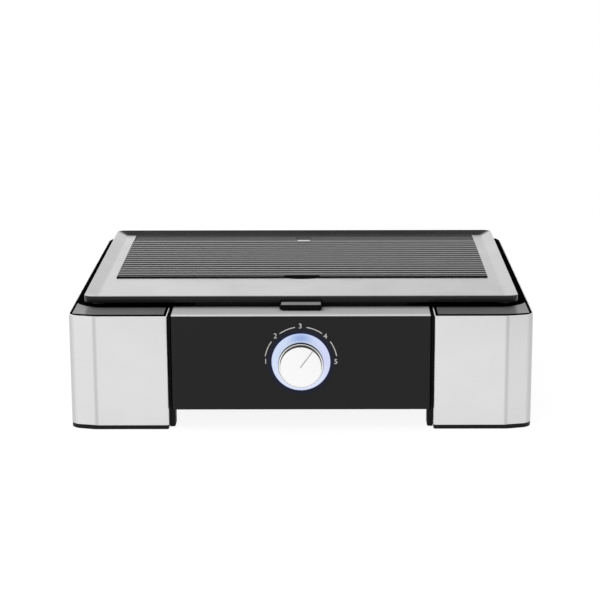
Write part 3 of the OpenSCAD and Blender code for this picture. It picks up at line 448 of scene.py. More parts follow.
def plate_skin():
    """Whole casting: top grid, rim rings, underside grid and the walls of the drain opening."""
    tx, ty, height, ux, uy = plate_lines()
    top, zone, tone = plate_top(tx, ty, height)
    under = plate_under(ux, uy)
    rows, columns = top.shape[:2]
    edge = border(rows, columns)
    rings, ring_zone = rim_rings(top.reshape(-1, 3)[edge])
    count = rows * columns
    size = len(edge)
    points = np.concatenate([top.reshape(-1, 3), under.reshape(-1, 3), rings.reshape(-1, 3)])
    zones = np.concatenate([zone.ravel(), np.full(count, -1.0), ring_zone.ravel()])
    # painted shade levels of the top grid for the tone attribute; none on the other parts
    painted_shades = np.concatenate([tone.ravel(), np.zeros(len(zones) - count)])
    # drain opening: columns within DRAIN_X, rows from the field's front edge to the first rib's top
    c0 = int(np.argmin(np.abs(tx + DRAIN_X)))
    c1 = int(np.argmin(np.abs(tx - DRAIN_X)))
    r0 = int(np.argmin(np.abs(ty - FIELD_Y0)))
    r1 = int(np.argmin(np.abs(ty - FIELD_Y0 - RIB_HALF)))
    r, c = np.meshgrid(np.arange(rows - 1), np.arange(columns - 1), indexing="ij")
    open_cell = ((r >= r0) & (r < r1) & (c >= c0) & (c < c1)).ravel()
    quads = np.array(grid_faces(rows, columns))[~open_cell]
    faces = quads[:, ::-1].tolist() + (quads + count).tolist()
    ring_start = 2 * count
    first = ring_start + np.arange(size)
    last = ring_start + (len(rings) - 1) * size + np.arange(size)
    following = np.roll(np.arange(size), -1)
    faces += np.stack([edge, edge[following], first[following], first], -1).tolist()
    faces += grid_faces(len(rings), size, wrap_columns=True, start=ring_start)
    faces += np.stack([last, last[following], edge[following] + count, edge + count], -1).tolist()
    grid = np.arange(count).reshape(rows, columns)
    hole = np.concatenate([grid[r0, c0:c1], grid[r0:r1, c1], grid[r1, c1:c0:-1],
                           grid[r1:r0:-1, c0]])
    after = np.roll(hole, -1)
    faces += np.stack([hole, after, after + count, hole + count], -1).tolist()
    pad, pad_faces = pad_skin()
    start = len(points)
    points = np.concatenate([points, pad])
    zones = np.concatenate([zones, np.full(len(pad), 2.0)])
    painted_shades = np.concatenate([painted_shades, np.zeros(len(pad))])
    faces += [[i + start for i in face] for face in pad_faces]
    return tilted(points), faces, {"zone": zones, "tone": painted_shades}


# ------------------------------------------------------------------ finishes


def scaled(colour, factor):
    """The colour made darker or lighter by a factor."""
    return tuple(factor * c for c in colour)


def neutral(level):
    """The grey of that level."""
    return (level, level, level)


class Nodes:
    """A node tree and the nodes that are added to it."""

    def __init__(self, tree):
        self.tree = tree

    def add(self, kind, sockets=None, **values):
        """A new node with its settings; each socket gets a value or another node's output."""
        node = self.tree.nodes.new(kind)
        for key, value in values.items():
            setattr(node, key, value)
        for socket, value in (sockets or {}).items():
            if isinstance(value, bpy.types.NodeSocket):
                self.join(value, node.inputs[socket])
            else:
                node.inputs[socket].default_value = value
        return node

    def join(self, output, target):
        self.tree.links.new(output, target)

    def span(self, value, low, high, new_low, new_high, smooth=False):
        """Value carried from low..high to new_low..new_high, held at both ends."""
        sockets = {"Value": value, "From Min": low, "From Max": high, "To Min": new_low,
                   "To Max": new_high}
        kind = "SMOOTHSTEP" if smooth else "LINEAR"
        return self.add("ShaderNodeMapRange", sockets, interpolation_type=kind).outputs["Result"]

    def math(self, operation, a, b=None):
        sockets = {0: a} if b is None else {0: a, 1: b}
        return self.add("ShaderNodeMath", sockets, operation=operation).outputs[0]

    def reach(self, a, b):
        """Length of the vector (a, b)."""
        squares = self.math("ADD", self.math("POWER", a, 2.0), self.math("POWER", b, 2.0))
        return self.math("SQRT", squares)

    def mix(self, factor, a, b):
        """Shader a where the factor is 0 and shader b where it is 1."""
        return self.add("ShaderNodeMixShader", {0: factor, 1: a, 2: b}).outputs[0]


class Finish(Nodes):
    """A material whose nodes feed its Principled shader."""

    def __init__(self, name, colour=(0.5, 0.5, 0.5), rough=0.5, metal=0.0, **sockets):
        self.material = bpy.data.materials.new(name)
        self.material.use_nodes = True
        super().__init__(self.material.node_tree)
        self.shader = self.tree.nodes["Principled BSDF"]
        self.set("Base Color", tuple(colour) + (1.0,))
        self.set("Roughness", rough)
        self.set("Metallic", metal)
        self.where = self.add("ShaderNodeTexCoord").outputs["Object"]
        for socket, value in sockets.items():
            self.set(socket.replace("_", " "), value)

    def set(self, socket, value):
        self.shader.inputs[socket].default_value = value

    def to(self, output, socket):
        self.join(output, self.shader.inputs[socket])

    def base(self):
        """The output that feeds the base colour so far."""
        return self.shader.inputs["Base Color"].links[0].from_socket

    def noise(self, scale, stretch=(1, 1, 1), detail=3.0, rough=0.55):
        """Noise in the piece's own coordinates, finer along an axis with a larger stretch."""
        place = self.add("ShaderNodeMapping", {"Scale": stretch, "Vector": self.where})
        sockets = {"Scale": scale, "Detail": detail, "Roughness": rough,
                   "Vector": place.outputs["Vector"]}
        return self.add("ShaderNodeTexNoise", sockets).outputs["Fac"]

    def blend(self, factor, a, b):
        """Colours a and b mixed by factor; each is a colour or another node's output."""
        a, b = (c + (1.0,) if isinstance(c, tuple) else c for c in (a, b))
        return self.add("ShaderNodeMix", {0: factor, 6: a, 7: b}, data_type="RGBA").outputs[2]

    def bump(self, height, strength, distance):
        sockets = {"Strength": strength, "Distance": distance, "Height": height}
        self.to(self.add("ShaderNodeBump", sockets).outputs["Normal"], "Normal")

    def axes(self):
        """The three object coordinates."""
        return tuple(self.add("ShaderNodeSeparateXYZ", {"Vector": self.where}).outputs)

    def from_axis(self):
        """Distance from the knob's axis."""
        x, _, z = self.axes()
        return self.reach(x, self.math("SUBTRACT", z, KNOB_Z * MM))

    def wear(self, on):
        """Puts the finish on a piece as its only material."""
        on.data.materials.clear()
        on.data.materials.append(self.material)


def dress(*table):
    """Puts each finish on the frame nodes that are named after it."""
    for finish, names in table:
        for name in names.split():
            finish.wear(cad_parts[name])


def steel_finish(colour):
    """Brushed stainless sheet: fine lines along the sheet and faint clouding, with painted shade
    along the crease, round the outer corner and on the right facet, and a painted highlight on the
    top edge."""
    f = Finish("brushed_steel", colour, 0.3, 1.0, Anisotropic=0.35)
    lines = f.noise(60, (0.7, 0.7, 60), 4, 0.6)
    clouds = f.noise(26, (1, 1, 1), 3)
    x, y, z = f.axes()
    side = f.math("ABSOLUTE", x)
    crease = (SIDE_X - FACET_W) * MM
    near = f.math("ABSOLUTE", f.math("SUBTRACT", side, crease + 0.0006))
    front = f.math("ABSOLUTE", f.math("SUBTRACT", y, MID_Y * MM))
    # painted shade: a dark band along the crease, darkening round the outer corner and over the
    # right facet
    crease_shade = f.span(near, 0.0004, 0.0030, 1, 0, smooth=True)
    crease_shade = f.math("MULTIPLY", crease_shade, f.span(front, (HALF_Y - 6) * MM, (HALF_Y - 4) * MM, 0, 1))
    corner = f.span(side, (SIDE_X - 8) * MM, (SIDE_X - 1.5) * MM, 0, 1, smooth=True)
    corner = f.math("MULTIPLY", corner, f.span(front, (HALF_Y - 42) * MM, (HALF_Y - 24) * MM, 0, 1))
    shade = f.math("ADD", f.math("MULTIPLY", crease_shade, 0.85), f.math("MULTIPLY", corner, 0.9))
    shade = f.math("ADD", shade, f.span(x, (SIDE_X - 28) * MM, (SIDE_X - 26) * MM, 0, 0.22))
    bright = f.blend(f.span(lines, 0.35, 0.65, 0, 1), scaled(colour, 0.955),
                     tuple(min(1.03 * c, 1) for c in colour))
    bright = f.blend(f.span(clouds, 0.35, 0.65, 0, 0.35), bright, scaled(colour, 0.93))
    bright = f.blend(shade, bright, scaled(colour, 0.72))
    # painted highlight: the top edge is a light matt grey
    top = float(SHELL[1][2]) * MM
    top_highlight = f.span(z, top - 0.0006, top - 0.0002, 0, 1)
    f.to(f.blend(top_highlight, bright, neutral(0.8)), "Base Color")
    f.to(f.span(top_highlight, 0, 1, 1, 0.1), "Metallic")
    f.to(f.span(lines, 0.3, 0.7, 0.26, 0.36), "Roughness")
    f.bump(lines, 0.1, 0.00004)
    return f


def moulded_finish(name, colour, rough, grain=900, depth=0.00003, lift=1.25, **sockets):
    """Moulded plastic or paint: a fine even grain, slightly uneven colour and sheen."""
    f = Finish(name, colour, rough, 0.0, **sockets)
    fine = f.noise(grain, detail=2)
    slow = f.noise(14, detail=4)
    f.to(f.blend(f.span(slow, 0.3, 0.7, 0, 1), colour, scaled(colour, lift)), "Base Color")
    f.to(f.span(slow, 0.3, 0.7, rough * 0.88, min(rough * 1.12, 1)), "Roughness")
    f.bump(fine, 0.35, depth)
    return f


def metal_finish(name, colour, rough, stretch=(1, 1, 1), scale=240, dull=0.82):
    """Plain metal: rolled or drawn marks in colour and sheen along the axis of low stretch."""
    f = Finish(name, colour, rough, 1.0)
    marks = f.noise(scale, stretch, 3)
    slow = f.noise(22, detail=3)
    tone = f.blend(f.span(marks, 0.3, 0.7, 0, 1), scaled(colour, dull), colour)
    f.to(f.blend(f.span(slow, 0.4, 0.75, 0, 0.4), tone, scaled(colour, 0.75)), "Base Color")
    f.to(f.span(marks, 0.3, 0.7, rough * 0.8, rough * 1.25), "Roughness")
    f.bump(marks, 0.2, 0.00004)
    return f


def plate_finish(smooth, ribs, wall):
    """Non-stick casting: smooth coat with a metallic sheen, a dull ribbed field with painted shade
    towards the foot of each rib, on the flat tail and round the drain, a dark outer wall and
    underside, and bare metal on the small pad. The zone and tone attributes tell them apart."""
    f = Finish("plate_coat", smooth, 0.3)
    zone = f.add("ShaderNodeAttribute", attribute_name="zone").outputs["Fac"]
    tone = f.add("ShaderNodeAttribute", attribute_name="tone").outputs["Fac"]
    speckle = f.noise(1500, detail=2)
    slow = f.noise(18, detail=4)
    grain = f.span(speckle, 0.35, 0.65, 0, 1)
    top = f.blend(grain, scaled(smooth, 0.985), scaled(smooth, 1.015))
    rib = f.blend(grain, scaled(ribs, 0.93), scaled(ribs, 1.07))
    # painted shade: near black where the tone is low, towards the foot of each rib
    rib = f.blend(f.span(tone, 0.58, 0.76, 0, 1), scaled(ribs, 0.02), rib)
    skin = f.blend(f.span(zone, 0.2, 0.8, 0, 1), rib, top)
    skin = f.blend(f.span(zone, -0.8, -0.2, 1, 0), skin, wall)
    f.to(f.blend(f.span(zone, 1.3, 1.7, 0, 1), skin, (0.75, 0.75, 0.76)), "Base Color")
    f.to(f.span(zone, 0.2, 0.8, 0, 1), "Metallic")
    f.to(f.span(zone, -0.8, -0.2, 0.25, 0.08), "Specular IOR Level")
    glossy = f.span(slow, 0.3, 0.7, 0.18, 0.24)
    dull = f.math("MULTIPLY", f.span(zone, 0.2, 0.8, 0.3, 0), f.span(zone, -0.8, -0.2, 0, 1))
    f.to(f.math("ADD", glossy, dull), "Roughness")
    f.bump(speckle, 0.12, 0.00003)
    return f


def cap_finish(colour):
    """Dark grey satin deck pieces, lighter at the front of the left cap as painted light. Painted
    shade makes the groove round them, their sides and the area under and beside the plate black:
    that area is where |(max(|x| - a, 0), max(b - y, 0))| is below its corner radius."""
    f = moulded_finish("cap_plastic", colour, 0.3, 1500)
    radius, half_x, front_y = 0.034, 0.239, (FRONT_Y + 36.5) * MM
    facet_cos, facet_sin = 0.968, 0.25
    x, y, z = f.axes()
    side = f.math("ABSOLUTE", x)
    across = f.math("MAXIMUM", f.math("SUBTRACT", side, half_x - radius), 0.0)
    ahead = f.math("MAXIMUM", f.math("SUBTRACT", front_y + radius, y), 0.0)
    # painted shadow: black without gloss under and beside the plate
    plate_shadow = f.span(f.reach(across, ahead), radius - 0.0003, radius + 0.0003, 1, 0)
    # painted shade also on the sides below the top face
    black = f.math("MAXIMUM", plate_shadow, f.span(z, 0.1217, 0.12195, 1, 0))
    # painted light: lighter towards the front of the left cap
    lift = f.math("MULTIPLY", f.span(y, (FRONT_Y + 4) * MM, front_y, 1, 0),
                  f.span(x, -0.05, 0.05, 1, 0))
    tone = f.blend(lift, f.base(), scaled(colour, 1.35))
    # distance from the steel: front, facet, side and inner face, whichever is nearest
    front = f.math("SUBTRACT", y, (FRONT_Y + 1.4) * MM)
    facet = f.math("SUBTRACT", side, (SIDE_X - SOLID_FACET_W) * MM)
    facet = f.math("SUBTRACT", f.math("MULTIPLY", front, facet_cos),
                   f.math("MULTIPLY", facet, facet_sin))
    outer = f.math("MINIMUM", f.math("MINIMUM", front, facet),
                   f.math("SUBTRACT", SIDE_X * MM, side))
    inset = f.math("MINIMUM", outer, f.math("SUBTRACT", side, (INNER_X - 0.6) * MM))
    # painted shade: black within about 4.2 to 4.5 mm of the steel, over the groove
    black = f.math("MAXIMUM", black, f.span(inset, 0.0042, 0.0045, 1, 0))
    f.to(f.blend(black, tone, neutral(0.002)), "Base Color")
    f.to(f.span(black, 0, 1, 0.5, 0), "Specular IOR Level")
    return f


# ------------------------------------------------------------------ settings


def length_property(name, description, default):
    """A length in metres that the user can change."""
    return bpy.props.FloatProperty(name=name, description=description, unit="LENGTH",
                                   default=default)


def angle_property(name, description, degrees):
    """An angle that the user can change, given here in degrees."""
    return bpy.props.FloatProperty(name=name, description=description, subtype="ANGLE",
                                   default=math.radians(degrees))


class GrillSteel(bpy.types.PropertyGroup):
    """Sizes of the steel shells round the end blocks."""
    corner_radius: length_property("Corner radius", "Radius of the outer vertical corners", 0.0135)
    facet_width: length_property("Facet width", "Distance of the crease from the side",
                                 FACET_W * MM)
    facet_angle: angle_property("Facet angle", "Angle between the facet and the front", 13.5)
    crease_radius: length_property("Crease radius", "Radius of the soft crease", 0.007)
    fold_radius: length_property("Fold radius", "Radius of the fold beside the centre", 0.0025)
    flange_depth: length_property("Flange depth", "Depth of the folded flanges", 0.038)
    sheet: length_property("Sheet", "Thickness of the steel", 0.0012)


class GrillDial(bpy.types.PropertyGroup):
    """Sizes of the dial's print and of the knob's pointer."""
    digit_height: length_property("Digit height", "Height of the printed numbers", 0.0053)
    radius: length_property("Dial radius", "Radius of the printed arcs", 0.0373)
    line: length_property("Line width", "Width of the printed arcs", 0.00095)
    pointer_angle: angle_property("Pointer angle", "Turn of the pointer, clockwise from the top",
                                  36.5)
    pointer_length: length_property("Pointer length", "Length of the pointer from the axis", 0.0206)


def colour_property(name, description, default):
    """A linear colour that the user can change."""
    return bpy.props.FloatVectorProperty(name=name, description=description, subtype="COLOR",
                                         default=default, size=3, min=0, max=1)


class GrillColours(bpy.types.PropertyGroup):
    """Colours of the finishes."""
    steel: colour_property("Steel", "Brushed steel of the end blocks", neutral(0.735))
    panel: colour_property("Panel", "Gloss black of the centre", neutral(0.008))
    cap: colour_property("Caps", "Dark grey of the deck pieces", (0.12, 0.12, 0.122))
    trim: colour_property("Trim", "Black of the lower edges and the knob", neutral(0.006))
    plate: colour_property("Plate", "Smooth coat of the plate", neutral(0.55))
    ribs: colour_property("Ribs", "Coat of the ribbed field", neutral(0.30))
    print_grey: colour_property("Print", "Numbers and arcs of the dial", (0.58, 0.57, 0.55))
    light: colour_property("Light", "Main colour of the lit ring", (0.66, 0.76, 0.98))


# ------------------------------------------------------------------ operators


class GRILL_OT_steel_shells(bpy.types.Operator):
    """Makes the two brushed steel shells"""
    bl_idname = "grill.steel_shells"
    bl_label = "Steel shells"

    def execute(self, context):
        finish = steel_finish(tuple(context.scene.grill_colours.steel))
        for side, word in ((-1, "left"), (1, "right")):
            points, faces = shell_skin(side, context.scene.grill_steel)
            piece = put(f"shell_{word}", points, faces, "base", "brushed_steel",
                        (f"steel_shell_{word}",), sharp=40)
            finish.wear(piece)
        return {"FINISHED"}


class GRILL_OT_light_ring(bpy.types.Operator):
    """Makes the lit ring round the knob"""
    bl_idname = "grill.light_ring"
    bl_label = "Light ring"

    def execute(self, context):
        outline = rounded([(20, -4.1), (20, 0.3), (30.2, 0.5), (30.2, -2.5), (33.2, -2.5),
                           (33.2, -4.1)], [0.1, 0.3, 0.4, 0.1, 0.2, 0.2], 5)
        piece = put("lit_ring", *turned(outline), "base", "light_plastic", ("light_ring",))
        light = tuple(context.scene.grill_colours.light)
        f = Finish("lit_plastic", (0.6, 0.62, 0.66), 0.25)
        x, _, z = f.axes()
        across = f.math("DIVIDE", x, LIT_R)
        up = f.math("DIVIDE", f.math("SUBTRACT", z, KNOB_Z * MM), LIT_R)
        top = f.span(up, 0.35, 0.9, 0, 1, smooth=True)
        centre = f.span(f.math("ABSOLUTE", across), 0.0, 0.62, 1, 0, smooth=True)
        low = f.span(up, -0.9, 0.3, 1, 0, smooth=True)
        right = f.span(across, 0.3, 0.95, 0, 1, smooth=True)
        glow = f.blend(f.math("MULTIPLY", top, centre), light, (0.30, 0.43, 0.80))
        glow = f.blend(f.math("MULTIPLY", right, 0.55), glow, (0.70, 0.66, 0.98))
        glow = f.blend(f.math("MULTIPLY", low, 0.75), glow, (0.86, 0.88, 1.0))
        reach = f.reach(across, up)
        rim = f.span(reach, 0.90, 0.985, 0, 0.55, smooth=True)
        glow = f.blend(rim, glow, (0.62, 0.70, 0.97))
        inner = f.span(reach, 0.66, 0.80, 0.4, 0, smooth=True)
        glow = f.blend(inner, glow, (0.95, 0.96, 1.0))
        mottle = f.span(f.noise(320, detail=3), 0.3, 0.7, 0, 0.16)
        glow = f.blend(mottle, glow, (0.45, 0.55, 0.85))
        f.to(glow, "Emission Color")
        f.set("Emission Strength", 0.88)
        f.set("Base Color", (0.05, 0.05, 0.06, 1))
        f.wear(piece)
        return {"FINISHED"}


class GRILL_OT_knob(bpy.types.Operator):
    """Makes the knob: black body, silver ring, spun face and pointer"""
    bl_idname = "grill.knob"
    bl_label = "Knob"

    def execute(self, context):
        dial = context.scene.grill_dial
        body = rounded([(3.0, 1.3), (6.2, 1.3), (6.2, 16.9), (16.3, 16.9), (16.3, 1.3), (18.5, 1.3),
                        (19.1, 7.9), (23.3, 8.8), (23.3, 14.0), (21.2, 14.0), (21.2, 19.1),
                        (3.0, 19.1)],
                       [0.1, 0.4, 0.8, 0.8, 0.4, 0.4, 0.8, 0.7, 0.35, 0.1, 0.2, 0.1], 5)
        knob = put("knob_body", *turned(body), "knob", "knob_black", ("control_knob",))
        moulded_finish("knob_black", neutral(0.003), 0.35, 1200,
                       Specular_IOR_Level=0.08).wear(knob)
        ring = rounded([(21.2, 14.0), (22.9, 14.0), (22.9, 14.6), (21.2, 14.6)],
                       [0.05, 0.1, 0.2, 0.1], 5)
        rim = put("knob_rim", *turned(ring), "knob", "knob_silver", ("knob_bezel",))
        metal_finish("polished_rim", (0.93, 0.93, 0.94), 0.22, scale=300, dull=0.95).wear(rim)
        disc = rounded([(9, 19.1), (21.1, 19.1), (21.1, 19.95), (9, 19.95)],
                       [0.1, 0.1, 0.3, 0.1], 5)
        face = put("knob_disc", *turned(disc[5:15], closed=False), "knob", "knob_silver",
                   ("knob_face",))
        f = Finish("spun_silver", (0.93, 0.93, 0.92), 0.33, 1.0)
        rings = f.add("ShaderNodeTexNoise", {"Scale": 9000, "W": f.from_axis()},
                      noise_dimensions="1D").outputs["Fac"]
        f.to(f.blend(f.span(rings, 0.3, 0.7, 0, 1), neutral(0.90), (0.97, 0.97, 0.965)),
             "Base Color")
        f.to(f.span(rings, 0.3, 0.7, 0.28, 0.38), "Roughness")
        f.bump(rings, 0.08, 0.00002)
        f.wear(face)
        a = dial.pointer_angle
        along = np.array([math.sin(a), math.cos(a)])
        across = np.array([math.cos(a), -math.sin(a)])
        length = dial.pointer_length / MM
        flat = rounded([(-0.55, -0.9), (0.55, -0.9), (0.5, length), (-0.5, length)], [0.3] * 4, 4)
        place = flat[:, :1] * across + flat[:, 1:] * along
        rings = np.stack([np.column_stack([place[:, 0], np.full(len(place), FACE_Y + d),
                                           KNOB_Z + place[:, 1]]) for d in (0.2, 0.0)])
        pointer = put("knob_pointer", *tube_skin(rings, closed=False), "knob", "knob_silver")
        moulded_finish("pointer_grey", neutral(0.33), 0.45).wear(pointer)
        dress((metal_finish("shaft_steel", neutral(0.5), 0.35, (1, 0.02, 1), 400),
               "control_shaft"))
        return {"FINISHED"}


class GRILL_OT_dial_marks(bpy.types.Operator):
    """Prints the numbers and arcs of the dial on the front panel"""
    bl_idname = "grill.dial_marks"
    bl_label = "Dial marks"

    def execute(self, context):
        dial = context.scene.grill_dial
        radius = dial.radius / MM
        points, faces = [], []

        def take(new_points, new_faces):
            start = sum(len(p) for p in points)
            points.append(np.asarray(new_points, float))
            faces.extend([[i + start for i in face] for face in new_faces])

        places = {"1": (-36.4, 1.0), "2": (-26.3, 28.0), "3": (-0.6, 38.4), "4": (25.2, 27.7),
                  "5": (36.0, 0.5)}
        for digit, (x, rise) in places.items():
            flat, flat_faces = digit_shape(digit, dial.digit_height / MM)
            take(np.column_stack([x + flat[:, 0], PANEL_Y - flat[:, 2],
                                  KNOB_Z + rise + flat[:, 1]]), flat_faces)
        for a0, a1 in ((9.5, 36), (54, 81), (99, 126), (144, 170.5)):
            take(*arc_bar(radius, dial.line / MM, a0, a1))
        piece = put("dial_print", np.concatenate(points), faces, "base", "gloss_black", sharp=20)
        moulded_finish("print_grey", tuple(context.scene.grill_colours.print_grey), 0.5).wear(piece)
        return {"FINISHED"}


def arc_bar(radius, width, a0, a1, thick=0.05):
    """Printed arc: a flat section width x thick carried round the dial from a0 to a1 degrees,
    narrowing over its last half millimetre at both ends."""
    a = np.radians(np.linspace(a0, a1, 25))
    run = np.minimum(a - a[0], a[-1] - a) * radius
    half = width / 2 * np.sqrt(np.clip(0.3 + run / 0.5, 0, 1))
    rings = np.empty((len(a), 4, 3))
    for k, (side, d) in enumerate(((-1, -0.05), (-1, thick), (1, thick), (1, -0.05))):
        r = radius + side * half
        rings[:, k] = np.stack([r * np.cos(a), np.full(len(a), PANEL_Y - d),
                                KNOB_Z + r * np.sin(a)], -1)
    return tube_skin(rings, closed=False)


def digit_shape(digit, height):
    """A plain number as a thin mesh, centred, height millimetres tall, lying in x and y."""
    curve = bpy.data.curves.new("digit", "FONT")
    curve.body = digit
    curve.extrude = 0.02
    curve.offset = 0.006
    holder = show("digit", curve)
    bpy.context.view_layer.update()
    mesh = bpy.data.meshes.new_from_object(holder)
    flat = np.empty(len(mesh.vertices) * 3)
    mesh.vertices.foreach_get("co", flat)
    flat = flat.reshape(-1, 3)
    faces = [list(face.vertices) for face in mesh.polygons]
    bpy.data.objects.remove(holder)
    bpy.data.curves.remove(curve)
    bpy.data.meshes.remove(mesh)
    low, high = flat.min(0), flat.max(0)
    scale = height / (high[1] - low[1])
    flat = (flat - (low + high) / 2) * scale
    flat[:, 2] = np.where(flat[:, 2] > 0, 0.05, -0.05)
    return flat, faces


class GRILL_OT_plate(bpy.types.Operator):
    """Makes the cast grill plate"""
    bl_idname = "grill.plate"
    bl_label = "Grill plate"

    def execute(self, context):
        points, faces, marks = plate_skin()
        piece = put("cast_plate", points, faces, "plate", "plate_coating", ("grill_plate",),
                    sharp=28, merge=1e-8)
        if len(piece.data.vertices) != len(points):
            raise RuntimeError("the plate's points were merged, so its marks don't fit")
        for key, values in marks.items():
            mark = piece.data.attributes.new(key, "FLOAT", "POINT")
            mark.data.foreach_set("value", values.astype(np.float32))
        colours = context.scene.grill_colours
        plate_finish(tuple(colours.plate), tuple(colours.ribs), neutral(0.006)).wear(piece)
        return {"FINISHED"}


def softened(node, name, body, width, segments=3, angle=35.0):
    """A merged copy of a frame node with its edges rounded by a bevel."""
    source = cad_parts[node]
    mesh = source.data.copy()
    skin = bmesh.new()
    skin.from_mesh(mesh)
    bmesh.ops.remove_doubles(skin, verts=skin.verts, dist=1e-6)
    bmesh.ops.dissolve_limit(skin, angle_limit=math.radians(0.5), verts=skin.verts,
                             edges=skin.edges)
    skin.to_mesh(mesh)
    skin.free()
    mesh.materials.clear()
    mesh.name = name
    piece = show(name, mesh)
    mesh.shade_smooth()
    mesh.set_sharp_from_angle(angle=math.radians(angle))
    bevel = piece.modifiers.new("edges", "BEVEL")
    bevel.width = width * MM
    bevel.segments = segments
    bevel.limit_method = "ANGLE"
    bevel.angle_limit = math.radians(angle)
    bevel.harden_normals = True
    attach(piece, body)
    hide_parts(node)
    return piece


class GRILL_OT_tray_grip(bpy.types.Operator):
    """Makes the grip of the drip tray"""
    bl_idname = "grill.tray_grip"
    bl_label = "Tray grip"

    def execute(self, context):
        piece = softened("tray_grip", "grip", "tray", 0.7)
        f = moulded_finish("grip_plastic", neutral(0.003), 0.4, 1200)
        top = float(node_box("tray_grip")[1][2]) * MM
        # painted light: the top face light grey and glossier than the black front
        top_light = f.span(f.axes()[2], top - 0.0005, top - 0.0001, 0, 1)
        f.to(f.blend(top_light, f.base(), neutral(0.25)), "Base Color")
        f.to(f.span(top_light, 0, 1, 0.06, 0.5), "Specular IOR Level")
        f.wear(piece)
        return {"FINISHED"}


class GRILL_OT_housing(bpy.types.Operator):
    """Gives the caps, trims, panels and frames their finishes"""
    bl_idname = "grill.housing"
    bl_label = "Housing finishes"

    def execute(self, context):
        colours = context.scene.grill_colours
        dress(
            (cap_finish(tuple(colours.cap)), "end_cap_left end_cap_right"),
            (moulded_finish("trim_plastic", tuple(colours.trim), 0.42, Specular_IOR_Level=0.14),
             "bottom_trim_left bottom_trim_right cord_gland"),
            (moulded_finish("frame_plastic", neutral(0.005), 0.5, 700,
                            Specular_IOR_Level=0.14),
             "centre_tub bottom_cover end_frame_left end_frame_right gland_nut"),
            (moulded_finish("shelf_plastic", neutral(0.003), 0.6, 700,
                            Specular_IOR_Level=0.02), "tray_shelf"),
            (moulded_finish("foot_rubber", neutral(0.02), 0.75, 500), "rubber_feet"),
            (panel_finish(tuple(colours.panel)), "front_panel rear_panel"))
        return {"FINISHED"}


def panel_finish(colour):
    """Gloss black front; its top strip is painted light grey as a sheen that darkens towards the
    plate as painted shade, the side edges carry a painted black shadow line, and a faint blue glow
    of the lit ring is painted round it."""
    f = Finish("panel_gloss", colour, 0.2, 0.0, Specular_IOR_Level=0.18)
    x, y, z = f.axes()
    slow = f.noise(20, detail=3)
    # painted light: a faint blue glow of the lit ring on the front face
    spill = f.span(f.from_axis(), LIT_R, 0.0375, 1, 0, smooth=True)
    spill = f.math("MULTIPLY", spill, f.span(y, (PANEL_Y + 4) * MM, (PANEL_Y + 5) * MM, 1, 0))
    tone = f.blend(f.span(slow, 0.3, 0.7, 0, 1), colour, scaled(colour, 1.25))
    # painted sheen: the top strip light grey, darker towards the plate as painted shade
    top_sheen = f.span(z, 0.1207, 0.1212, 0, 1)
    lift = f.span(y, PANEL_Y * MM, (PANEL_Y + 8) * MM, 0, 1)
    tone = f.blend(top_sheen, tone, f.blend(lift, neutral(0.65), neutral(0.46)))
    tone = f.blend(spill, tone, (0.004, 0.008, 0.035))
    # painted shadow: a black line without gloss along both side edges
    edge = f.span(f.math("ABSOLUTE", x), PANEL_HALF_X, 0.1334, 0, 1)
    f.to(f.blend(edge, tone, neutral(0.001)), "Base Color")
    f.to(f.span(edge, 0, 1, 0.18, 0), "Specular IOR Level")
    f.to(f.span(slow, 0.3, 0.7, 0.17, 0.24), "Roughness")
    return f


class GRILL_OT_inner_parts(bpy.types.Operator):
    """Gives the heater, the tray and the parts inside their finishes"""
    bl_idname = "grill.inner_parts"
    bl_label = "Inner parts' finishes"

    def execute(self, context):
        dress(
            (metal_finish("aluminised_sheet", (0.62, 0.62, 0.63), 0.34, (0.08, 1, 1), 300),
             "reflector_pan element_brackets"),
            (moulded_finish("tray_coat", neutral(0.005), 0.45, 900, Specular_IOR_Level=0.1),
             "drip_tray tray_guides"),
            (metal_finish("heater_tube", (0.16, 0.14, 0.125), 0.5, scale=500), "heating_element"),
            (metal_finish("screw_steel", (0.62, 0.62, 0.60), 0.32, scale=700),
             "thermostat_screws cover_screws trim_screws pan_screws thermal_fuse"),
            (metal_finish("copper", (0.80, 0.42, 0.26), 0.3, (0.1, 1, 1), 500),
             "temperature_sensor"),
            (metal_finish("brass", (0.76, 0.60, 0.25), 0.35, scale=500), "earth_lug"),
            (moulded_finish("ceramic", (0.72, 0.70, 0.64), 0.55, 800),
             "element_bushes element_terminals thermostat terminal_block"),
            (moulded_finish("rest_plastic", neutral(0.03), 0.6, 800), "plate_rests"),
            (moulded_finish("board_green", (0.02, 0.12, 0.05), 0.35, 600), "lamp_board"),
            (moulded_finish("lamp_white", (0.85, 0.85, 0.75), 0.3, 800), "lamps"),
            (moulded_finish("wire_cover", (0.03, 0.10, 0.45), 0.5, 900), "internal_wiring"))
        return {"FINISHED"}


